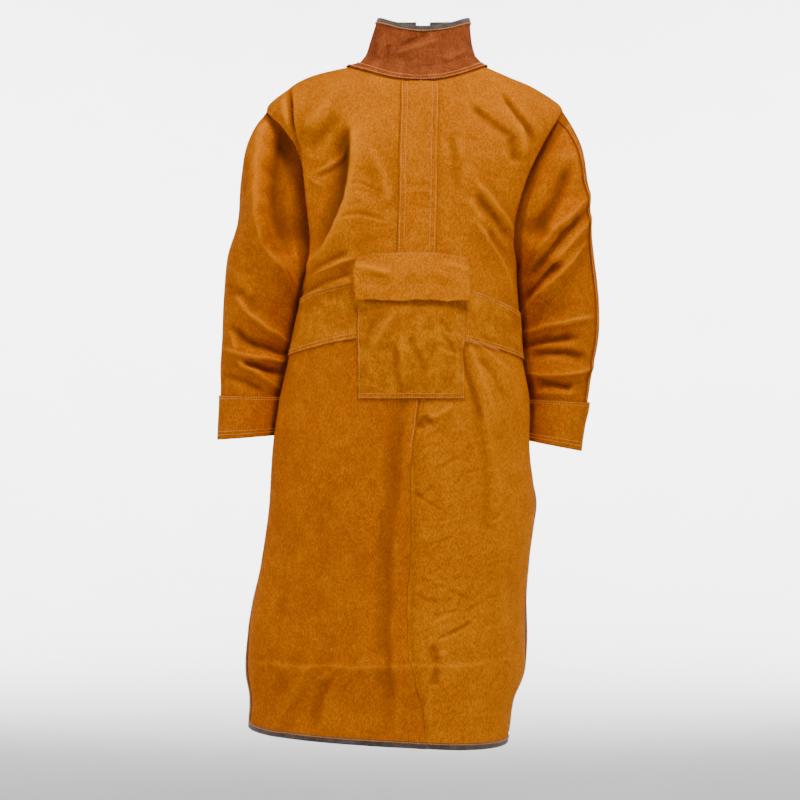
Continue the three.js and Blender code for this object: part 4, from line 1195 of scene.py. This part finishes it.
def sleeve_panels(side):
    """The two panels of a sleeve: the back one laps over the front one along the overarm seam."""
    seam = OVERARM_SEAM_DEG[side]
    for face, low, high in (("front", seam, 180), ("back", -180, seam)):
        over = face == "back"
        steps = np.linspace(0, CUFF_TOP + CUFF_LAP, SLEEVE_GRID[face]["rows"])
        reach = math.radians(1) * SLEEVE_RADIUS
        width = (high - low) * reach
        lap = OVERARM["lap"] if over else 0
        rows = [width + lap - inset for inset in OVERARM["stitches"]] if over else []
        across = spread(width + lap, SLEEVE_GRID[face]["step"], rows)
        whole = high - low + lap / reach
        deg = low + SLEEVE_GAP["overarm"] + (across / reach) * (whole - 2 * SLEEVE_GAP["overarm"]) / whole
        grid_deg, k = np.meshgrid(deg, steps)
        ahead = sleeve_point(side, grid_deg, 0.1) - sleeve_point(side, grid_deg, 0.0)
        pace = np.linalg.norm(ahead, axis=-1) / 0.1
        start = SLEEVE_GAP["armhole"] / pace
        p, n, wear = sleeve(side, grid_deg, start + (steps[-1] - start) * k / steps[-1])
        panel = body(*armhole(side, deg[:, None], PANEL_GROWTH))[:2]
        p, n, wear = swapped(p[::-1], n[::-1], wear[::-1])
        p, n, wear, inner = turn_in(p, n, wear, ALLOWANCE["roll"], panel)
        p, n, wear = (q[::-1] for q in swapped(p, n, wear))
        inner = inner[::-1][:, None]
        rest, dip = 0.0, 0.0
        if over:
            rest = OVER * smoothstep(across, width - OVERARM["riseFrom"], width - OVERARM["riseTo"])
            dip = STITCH_DIP["plain"] * near_rows(across, rows)
        piece, top = leather(f"sleeve_{face}_{side}.suede", p, n, wear, rest - dip, rest + inner, BROWN)
        cut = SLEEVE_CUT["wide" if high - low > 180 else "narrow"]
        declare(piece, f"sleeve_{face}_{side}", "suede", *cut)
        first = OVERARM["stitchFrom"]
        stitch_lines(top[first:], n[first:], lines_at(across, rows), down=True)


CUFF = {"height": 78, "stitches": (3.5, 10, 66, 71), "seamStitch": 3.5, "step": 2.8, "seamStep": 1.5}
CUFF_SEAM_DEG = {"left": 200, "right": 24}
CUFF_LOT = {"left": BROWN, "right": GOLD}
CUFF_TURN = np.concatenate([np.arange(0, 352, 2.2), [358.2, 359.0, 359.5]])  # columns from the seam on


def cuff(side):
    """A turned-up cuff, sewn at both edges and lapped at its seam."""
    places = spread(CUFF["height"], CUFF["step"], CUFF["stitches"])
    k = CUFF_TOP - CUFF_LAP + (CUFF_END - CUFF_TOP + CUFF_LAP) * places / CUFF["height"]
    seam = CUFF_SEAM_DEG[side]
    deg = np.sort((CUFF_TURN + seam) % 360)
    if len(deg) % 2:
        deg = np.delete(deg, len(deg) // 2)
    p, n, wear = sleeve(side, *np.meshgrid(deg, k))
    past = (deg - seam) % 360
    seam_step = CUFF["seamStep"] * np.exp(-past / 14) * (past < 180)
    from_lap = np.abs((deg - OVERARM_SEAM_DEG[side] + 180) % 360 - 180)
    over_lap = OVER * (1 - smoothstep(from_lap, 12, 28)) * (1 - smoothstep(places, 18, 44))[:, None]
    dip = STITCH_DIP["plain"] * near_rows(places, CUFF["stitches"])[:, None]
    outer = OVER + over_lap + seam_step - dip + 0.15 * noise(p, 22, 31)
    piece, top = leather(
        f"cuff_{side}.suede", p, n, wear, outer, LAP + over_lap, CUFF_LOT[side], wrap=True,
    )
    declare(piece, f"cuff_{side}", "suede", (0.30, 0.08), on=[f"sleeve_front_{side}"])
    closed = [np.concatenate([q, q[:, :1]], 1) for q in (top, n)]
    stitch_lines(*closed, lines_at(places, CUFF["stitches"]))
    stitch_lines(top, n, lines_at(past, [CUFF["seamStitch"]]), down=True)


SKIRT_SEAM_X = -7
BAND = {"height": 92, "step": 3.0, "columns": 271, "ragged": 3, "seamFrom": 16, "seamTo": 34}
BAND_STITCHES = (3, 9, BAND["height"] - 9, BAND["height"] - 3.2)
# The waistband's raw edge is frayed beside the pocket.
FRAY = {
    "fromX": 78, "toX": 138, "count": 110, "long": 9.5, "thick": 0.55, "bends": 4, "sides": 4, "lean": 0.55,
    "lift": 1.6, "rooted": 1.4, "seed": 9,
}


def over_seam_of_skirt(x, near, far):
    """How far a piece rises to clear the skirt's lapped seam, at places across the front."""
    return OVER * (1 - smoothstep(np.abs(x - SKIRT_SEAM_X), near, far))


def waistband():
    height = BAND["height"]
    places = spread(height, BAND["step"], BAND_STITCHES)
    v = RING["band_top"] + places / height
    left, right = open_edge("left", v), open_edge("right", v)
    deg = -left[:, None] + (left + right)[:, None] * np.linspace(0, 1, BAND["columns"])
    ragged = 0.9 * np.sin(deg[0] * 1.9) * np.sin(deg[0] * 0.43 + 1) + 0.5 * np.sin(deg[0] * 4.7 + 2)
    grid_v = v[:, None] + (smoothstep(places, height - BAND["ragged"], height)[:, None] * ragged) / height
    p, n, wear = body(deg, grid_v)
    over_seam = over_seam_of_skirt(p[..., 0], BAND["seamFrom"], BAND["seamTo"])
    over_seam = over_seam * smoothstep(grid_v, WAIST_JOINT - 0.2, WAIST_JOINT)
    outer = OVER + over_seam - STITCH_DIP["plain"] * near_rows(places, BAND_STITCHES)[:, None]
    piece, top = leather("waistband.suede", p, n, wear, outer, LAP + over_seam, AMBER)
    declare(piece, "waistband", "suede", (0.70, 0.09), on=FRONT_PANELS)
    stitch_lines(top, n, lines_at(places, BAND_STITCHES), trim=3)
    edge = top[-1]
    worn = (edge[:, 0] > FRAY["fromX"]) & (edge[:, 0] < FRAY["toX"]) & (edge[:, 1] < 0)
    fray(edge[worn], n[-1, worn])


def fray(edge, normals):
    """Loose fibres along a worn edge, as fine bent tubes."""
    rng = np.random.default_rng(FRAY["seed"])
    count = FRAY["count"]
    at = rng.uniform(0, len(edge) - 1, count)
    start, up = (between(at, np.arange(len(edge)), q) for q in (edge, normals))
    long = FRAY["long"] * rng.uniform(0.3, 1, (count, 1))
    lean, curl = rng.normal(0, FRAY["lean"], (2, count, 1))
    right, back, down = np.array([1.0, 0, 0]), np.array([0, 1.0, 0]), np.array([0, 0, -1.0])
    t = np.linspace(0, 1, FRAY["bends"])[:, None, None]
    lift = 0.2 + FRAY["lift"] * t * rng.uniform(0.2, 1, (count, 1))
    path = start + up * lift + down * (long * t - FRAY["rooted"])
    path = path + right * long * (lean * t + curl * t**2)
    turn = np.arange(FRAY["sides"]) * math.tau / FRAY["sides"]
    ring = np.cos(turn)[:, None] * right + np.sin(turn)[:, None] * back
    corners = path[..., None, :] + ring * (FRAY["thick"] * (1 - 0.6 * t))[..., None]
    tubes("waistband_fray", np.moveaxis(corners, 0, 1))


PLACKET = {"width": 64, "topX": 6, "bottomX": 0, "topZ": -41, "bottomZ": -352, "step": 3.0, "rows": 125}
PLACKET_STITCHES = (3, 11, PLACKET["width"] - 11, PLACKET["width"] - 3)


def placket():
    across = spread(PLACKET["width"], PLACKET["step"], PLACKET_STITCHES)
    down = np.linspace(0, 1, PLACKET["rows"])
    middle = PLACKET["topX"] + (PLACKET["bottomX"] - PLACKET["topX"]) * down
    z = PLACKET["topZ"] + (PLACKET["bottomZ"] - PLACKET["topZ"]) * down
    x = middle[:, None] + across - PLACKET["width"] / 2 + 0.5 * np.sin(down * 13)[:, None]
    p, n, wear = on_front(x, np.broadcast_to(z[:, None], x.shape).copy())
    outer = OVER + LAP - STITCH_DIP["deep"] * near_rows(across, PLACKET_STITCHES)
    piece, top = leather("front_placket.suede", p, n, wear, outer, LAP + LAP, GOLD)
    declare(piece, "front_placket", "suede", (0.064, 0.31), on=FRONT_PANELS)
    stitch_lines(top, n, lines_at(across, PLACKET_STITCHES), down=True)


POCKET = {"middle": -9, "width": 176, "mouthZ": -392, "bottomZ": -573, "bulge": 8, "step": 2.6}
FLAP = {
    "middle": -8, "width": 182, "topZ": -330, "bottomZ": -412, "sideDrop": 9, "cornerLeft": 16,
    "cornerRight": 8, "standOff": 5.7, "across": 2.6, "down": 2.4, "stitch": 3, "deepest": -1.5,
}


def z_on_front(ring):
    return BODY_RINGS[RING[ring]]["zFront"]


def pocket():
    width, mouth, bottom = POCKET["width"], POCKET["mouthZ"], POCKET["bottomZ"]
    height = mouth - bottom
    sides, ends = (3, width - 3), (height - 9, height - 3.2)
    across, down = spread(width, POCKET["step"], sides), spread(height, POCKET["step"], ends)
    x, z = np.meshgrid(POCKET["middle"] - width / 2 + across, mouth - down)
    p, n, wear = on_front(x, z)
    t = (down / height)[:, None]
    band_end = (z_on_front("band_bottom") - mouth) / (bottom - mouth)
    over_band = (1 - smoothstep(t, band_end + 0.05, band_end + 0.16)) * OVER
    over_seam = over_seam_of_skirt(x, 14, 32) * smoothstep(t, band_end, band_end + 0.1)
    swell = np.sin(np.pi * across / width) ** 0.8 * np.sin(np.pi * (0.06 + 0.94 * t)) ** 0.8
    folds = fold_height("pocket", x, z) * np.minimum(1, 2.2 * swell) * smoothstep(t, 0.1, 0.32)
    rest = LAP + np.maximum(over_band, over_seam) + np.maximum(POCKET["bulge"] * swell + folds, 0)
    dip = np.maximum(near_rows(across, sides)[None], near_rows(down, ends)[:, None])
    outer = rest + LEATHER - STITCH_DIP["plain"] * dip
    piece, top = leather("pocket.suede", p, n, wear * 0.5 + wear_of(folds), outer, rest, AMBER)
    declare(piece, "pocket", "suede", (0.18, 0.19), on=["waistband", "skirt_left", "skirt_right"])
    stitch_lines(top, n, lines_at(across, sides), down=True)
    stitch_lines(top, n, lines_at(down, ends), trim=2)


def pocket_flap():
    width, height = FLAP["width"], FLAP["topZ"] - FLAP["bottomZ"]
    across = (spread(width, FLAP["across"], (FLAP["stitch"], width - FLAP["stitch"])) / width) * 2 - 1
    corner = np.where(across < 0, FLAP["cornerLeft"], FLAP["cornerRight"])
    down = spread(height, FLAP["down"], (FLAP["stitch"],)) / height
    top_z = FLAP["topZ"] - FLAP["sideDrop"] * np.abs(across) ** 3
    round_off = np.maximum(np.abs(across) * width / 2 - (width / 2 - corner), 0)
    bottom_z = FLAP["bottomZ"] + corner - np.sqrt(np.maximum(corner**2 - round_off**2, 0))
    bottom_z = bottom_z + 1.0 * np.sin(across * 7 + 0.4) + 0.6 * np.sin(across * 17 + 1)
    z = top_z + (bottom_z - top_z) * down[:, None]
    x = np.broadcast_to(FLAP["middle"] + across * width / 2, z.shape).copy()
    p, n, wear = on_front(x, z)
    t = down[:, None]
    band_start = (FLAP["topZ"] - z_on_front("band_top")) / height
    over_band = smoothstep(t, band_start - 0.5, band_start - 0.06) * OVER
    wave = 1.6 * (1 + np.sin(across * 8 + 0.6)) * smoothstep(t, 0.4, 1.0)
    folds = np.maximum(fold_height("flap", x, z), FLAP["deepest"]) * smoothstep(t, 0.03, 0.3)
    rest = LAP + LAP + OVER + over_band + FLAP["standOff"] * smoothstep(t, 0.02, 0.8) + wave + folds
    outer = rest + LEATHER - STITCH_DIP["deep"] * near_rows(down * height, (FLAP["stitch"],))[:, None]
    piece, top = leather("pocket_flap.suede", p, n, wear * 0.4 + wear_of(folds), outer, rest, HONEY)
    declare(piece, "pocket_flap", "suede", (0.195, 0.08), on=["front_placket", "pocket"])
    stitch_lines(top, n, lines_at(down * height, [FLAP["stitch"]]), trim=2)


# The skirt's lap, the middle of its stitches and the rows over which they show, the painted shadow line
# beside its edge and its width, and how far its side edges curl.
SKIRT = {"rows": 293, "lap": 7.0, "stitch": 3.2, "sewnRows": 62, "shade": 4, "shadeWide": 1.8, "curl": 18}
# Its columns: places beside the seam in millimetres, for a panel of that width, then even and then close.
SKIRT_NEAR = np.array([0, 0.8, 1.6, 2.4, 3.2, 4.0, 5.0, 6.2, 7.6, 9.4, 11.6, 14, 16.6])
SKIRT_GRID = {"width": 430, "evenFrom": 19, "evenTo": 0.97, "even": 168, "closeFrom": 0.976, "close": 8}
# How far the lapped seam wanders to the right of the middle on its way down.
SEAM_WANDER = table(
    "z right",
    (-480, 9),
    (-583, 7.4),
    (-680, -1),
    (-820, -0.5),
    (-890, -3),
    (-958, -3.5),
    (-1000, -1.5),
    (-1030, 5.5),
    (-1063, 6.8),
    (-1148, 3),
)
# Where the bound side edges stand out from the legs, so that their tape shows from the front.
SIDE_FLARE = table(
    "side middleZ half out",
    ("left", -1050, 110, 6.5),
    ("right", -748, 42, 7),
    ("right", -965, 60, 6),
)


def skirt_columns():
    """Shares of a skirt panel's width, from the seam to the side."""
    width = SKIRT_GRID["width"]
    even = np.linspace(SKIRT_GRID["evenFrom"] / width, SKIRT_GRID["evenTo"], SKIRT_GRID["even"])
    close = np.linspace(SKIRT_GRID["closeFrom"], 1, SKIRT_GRID["close"])
    return np.concatenate([SKIRT_NEAR / width, even, close])


def skirt():
    """Two panels, the left one lapped over the right one, with bound sides and a bound hem."""
    fine_v = np.linspace(WAIST_JOINT + 0.03, RING["hem"], 4000)
    z = along(BODY_RINGS, "zSide", fine_v)
    rows = np.interp(np.linspace(-z[0], -z[-1], SKIRT["rows"]), -z, fine_v)
    known, right = ([row[c] for row in SEAM_WANDER] for c in ("z", "right"))
    wander = np.interp(-along(BODY_RINGS, "zFront", rows), -np.array(known), right)
    lap = SKIRT["lap"]
    feet = {}
    for side in SIDES:
        lapped = side == "left"
        seam = wander if lapped else wander - lap
        seam_deg = np.degrees(seam / along(BODY_RINGS, "right", rows))[:, None]
        first = -seam_deg if lapped else seam_deg
        deg = first + (open_edge(side, rows)[:, None] - first) * skirt_columns()
        p, n, wear = body(SIDES[side] * deg, np.broadcast_to(rows[:, None], deg.shape))
        steps = np.linalg.norm(np.diff(p, axis=1), axis=-1)
        along_row = np.concatenate([np.zeros((len(rows), 1)), np.cumsum(steps, 1)], 1)
        curl = np.clip(1 - (along_row[:, -1:] - along_row) / SKIRT["curl"], 0, 1) ** 2
        for flare in SIDE_FLARE:
            if flare["side"] == side:
                height = np.exp(-(((p[..., 2] - flare["middleZ"]) / flare["half"]) ** 2))
                p = p + n * (flare["out"] * height * curl)[..., None]
        n = like(grid_normals(p), n)
        rest, dip = np.zeros_like(along_row), 0.0
        if lapped:
            rest = OVER * (1 - smoothstep(along_row, lap + 1, lap + 16))
            dip = STITCH_DIP["deep"] * near_rows(along_row, (SKIRT["stitch"],))
        else:
            # Painted shadow: a dark line on the lower panel beside the lapped edge.
            wear = wear - SKIRT["shade"] * near_rows(along_row, (lap + 0.5,), SKIRT["shadeWide"])
        lot = BROWN if lapped else HONEY
        piece, top = leather(f"skirt_{side}.suede", p, n, wear, rest - dip, rest - LEATHER, lot)
        declare(piece, f"skirt_{side}", "suede", (0.50, 0.74), 0.24)
        start, stop = int(np.searchsorted(rows, RING["band_bottom"])) + 4, len(rows) - 5
        if lapped:
            sewn = slice(start, start + SKIRT["sewnRows"])
            stitch_lines(top[sewn], n[sewn], lines_at(SKIRT_NEAR, [SKIRT["stitch"]]), down=True)
        edge, up = p[start:stop, -1], n[start:stop, -1]
        binding(f"side_binding_{side}", edge, up, unit(edge - p[start:stop, -6]), 0.62)
        feet[side] = ((p + n * rest[..., None])[-1], n[-1], unit(p[-1] - p[-4]))
    over = nearest_to(feet["right"][0][:, 0], feet["left"][0][0, 0]) + 2
    edge, up, away = (np.concatenate([feet["left"][k][::-1], feet["right"][k][over:]]) for k in range(3))
    binding("hem_binding", edge, up, away, 0.62, TAPE_FOLD["hemWide"])


COLLAR = {
    "openDeg": 171, "columns": 231, "footRows": 12, "footTo": 0.04, "wallFrom": 0.4, "wallRows": 44,
    "foldsFrom": 11, "foldsFull": 20, "rimRows": 5,
}
COLLAR_STITCHES = (2, 9)  # rows of the foot
COLLAR_TAB = {
    "fromDeg": 158, "toDeg": 202, "columns": 41, "fromRow": 1.4, "toRow": 2.3, "rows": 21, "off": 1.8,
}


def collar():
    """A standing collar sewn over the neckline with a turned foot, with a bound rim and a back tab."""
    deg = np.linspace(-COLLAR["openDeg"], COLLAR["openDeg"], COLLAR["columns"])
    foot_v = np.linspace(FLANGE_REACH, COLLAR["footTo"], COLLAR["footRows"])
    foot, foot_n, _ = body(*np.meshgrid(deg, foot_v))
    foot = foot + foot_n * (OVER + LAP)
    wall_v = np.linspace(COLLAR["wallFrom"], len(COLLAR_RINGS) - 1, COLLAR["wallRows"])
    wall = ring_point(COLLAR_RINGS, *np.meshgrid(deg, wall_v))
    p = np.concatenate([foot, wall])
    n = like(grid_normals(p), np.concatenate([foot_n, unit(wall * [1, 1, 0])]))
    row, last = np.arange(len(p))[:, None], len(p)
    rise = smoothstep(row, COLLAR["foldsFrom"], COLLAR["foldsFull"])
    rise = rise * (1 - smoothstep(row, last - COLLAR["rimRows"], last))
    folds = fold_height("collar", p[..., 0], p[..., 2]) * np.maximum(-n[..., 1], 0)
    height = (folds + 1.3 * noise(p, 50, 7) + 0.5 * noise(p, 18, 8)) * rise
    p = p + n * height[..., None]
    n = like(grid_normals(p), n)
    piece, top = leather("collar.suede", p, n, wear_of(height), 0, -LEATHER, RUSSET)
    declare(piece, "collar", "collar_suede", (0.56, 0.11), 0.05, on=FRONT_PANELS)
    stitch_lines(top, n, COLLAR_STITCHES, trim=2)
    binding("collar_binding", p[-1], n[-1], unit(p[-1] - p[-4]), 0.46)
    tab_deg = np.linspace(COLLAR_TAB["fromDeg"], COLLAR_TAB["toDeg"], COLLAR_TAB["columns"])
    tab_v = np.linspace(COLLAR_TAB["fromRow"], COLLAR_TAB["toRow"], COLLAR_TAB["rows"])
    tab = ring_point(COLLAR_RINGS, *np.meshgrid(tab_deg, tab_v))
    tab_n = like(grid_normals(tab), unit(tab * [1, 1, 0]))
    off, unworn = COLLAR_TAB["off"], np.zeros(tab.shape[:2])
    piece, top = leather("collar_tab.suede", tab, tab_n, unworn, OVER + off, LAP + off, RUSSET)
    declare(piece, "collar_tab", "collar_suede", (0.06, 0.025), on=["collar"])
    stitch_lines(top, tab_n, (2, 4, -5, -3), trim=2, down=True)


STRAP = {"fromDeg": 126, "toDeg": 234, "columns": 91, "half": 0.24, "rows": 21, "off": 0.6}


def back_strap():
    deg = np.linspace(STRAP["fromDeg"], STRAP["toDeg"], STRAP["columns"])
    v = np.linspace(WAIST_JOINT - STRAP["half"], WAIST_JOINT + STRAP["half"], STRAP["rows"])
    p, n, wear = body(*np.meshgrid(deg, v))
    rest = OVER + STRAP["off"]
    piece, top = leather("back_strap.suede", p, n, wear, rest + OVER, rest + LAP, BROWN)
    declare(piece, "back_strap", "suede", (0.36, 0.042), on=["waistband"])
    stitch_lines(top, n, (2, -3), trim=2)


for side in SIDES:
    front_panel(side)
    back_panel(side)
    sleeve_panels(side)
    cuff(side)
sew("stitches_sleeves")
collar()
placket()
waistband()
sew("stitches_bodice")
skirt()
pocket()
pocket_flap()
back_strap()
sew("stitches_skirt")


STAGE = {"floor": -1500, "radius": 6500, "bend": 1600, "top": 1700, "round": 96, "steps": 16}
PAPER = ((0.90, 0.90, 0.90, 1), (0.93, 0.93, 0.925, 1))
WORLD_LIGHT = 0.05
# Soft lights: places and aims in metres, the size of each, its power and the width of its beam.
LIGHTS = table(
    "name place aim size power beam",
    ("key", (0.40, -1.15, 1.55), (0, -0.1, -0.2), 0.6, 50, 180),
    ("side_left", (-2.2, -1.0, 0.5), (-0.2, 0, -0.5), 0.8, 24, 180),
    ("side_right", (2.2, -0.7, 0.4), (0.2, 0, -0.6), 0.8, 9, 180),
    ("fill", (0.5, -3.4, -0.6), (0, 0, -0.9), 1.6, 7, 180),
    ("backdrop_left", (-3.0, 2.6, 1.4), (-0.5, 6.5, -0.2), 1.6, 420, 130),
    ("backdrop_right", (3.0, 2.6, 1.4), (0.5, 6.5, -0.2), 1.6, 420, 130),
)
SENSOR = 36


def placed(name, data):
    """An object of the scene that holds some data."""
    thing = bpy.data.objects.new(name, data)
    bpy.context.collection.objects.link(thing)
    return thing


def floor():
    """A plain pale floor that sweeps up far away all round."""
    bend, rim = STAGE["bend"], STAGE["radius"] - STAGE["bend"]
    profile = [(rim * share, STAGE["floor"]) for share in (0.01, 0.5, 0.97)]
    for t in np.linspace(0, np.pi / 2, STAGE["steps"]):
        profile.append((rim + bend * math.sin(t), STAGE["floor"] + bend * (1 - math.cos(t))))
    profile.append((STAGE["radius"], STAGE["top"]))
    count = STAGE["round"]
    way = [(math.cos(math.tau * k / count), math.sin(math.tau * k / count)) for k in range(count)]
    vertices = [(r * c * MM, r * s * MM, z * MM) for r, z in profile for c, s in way]
    mesh = bpy.data.meshes.new("floor")
    mesh.from_pydata(vertices, [], [list(range(count))] + grid_faces(len(profile), count, 0, True).tolist())
    mesh.shade_smooth()
    paper, tree = empty_material("backdrop_paper")
    tone = spread_value(tree, noise_node(tree, place_of(tree), 3, 3), 0.3, 0.7)
    surface_of(tree, Base_Color=blend(tree, tone, *PAPER), Roughness=0.9)
    mesh.materials.append(paper)
    placed("floor", mesh)


def lights():
    world = bpy.data.worlds.new("studio")
    world.use_nodes = True
    sky = world.node_tree.nodes["Background"].inputs
    sky["Color"].default_value = (1, 1, 1, 1)
    sky["Strength"].default_value = WORLD_LIGHT
    bpy.context.scene.world = world
    for row in LIGHTS:
        light = bpy.data.lights.new(row["name"], "AREA")
        light.size = row["size"]
        light.energy = row["power"]
        light.spread = math.radians(row["beam"])
        lamp = placed(row["name"], light)
        lamp.location = row["place"]
        way = np.array(row["aim"]) - np.array(row["place"])
        tilt, turn = math.acos(-way[2] / np.linalg.norm(way)), math.atan2(way[1], way[0])
        lamp.rotation_euler = (tilt, 0, turn - math.pi / 2)


def photo_camera():
    lens = bpy.data.cameras.new("photo_camera")
    lens.sensor_width = SENSOR
    lens.lens = SENSOR * CAMERA["away"] / CAMERA["frame"]
    camera = placed("photo_camera", lens)
    camera.location = (CAMERA["x"] * MM, -CAMERA["away"] * MM, CAMERA["z"] * MM)
    camera.rotation_euler = (math.pi / 2, 0, 0)
    bpy.context.scene.camera = camera


floor()
lights()
photo_camera()
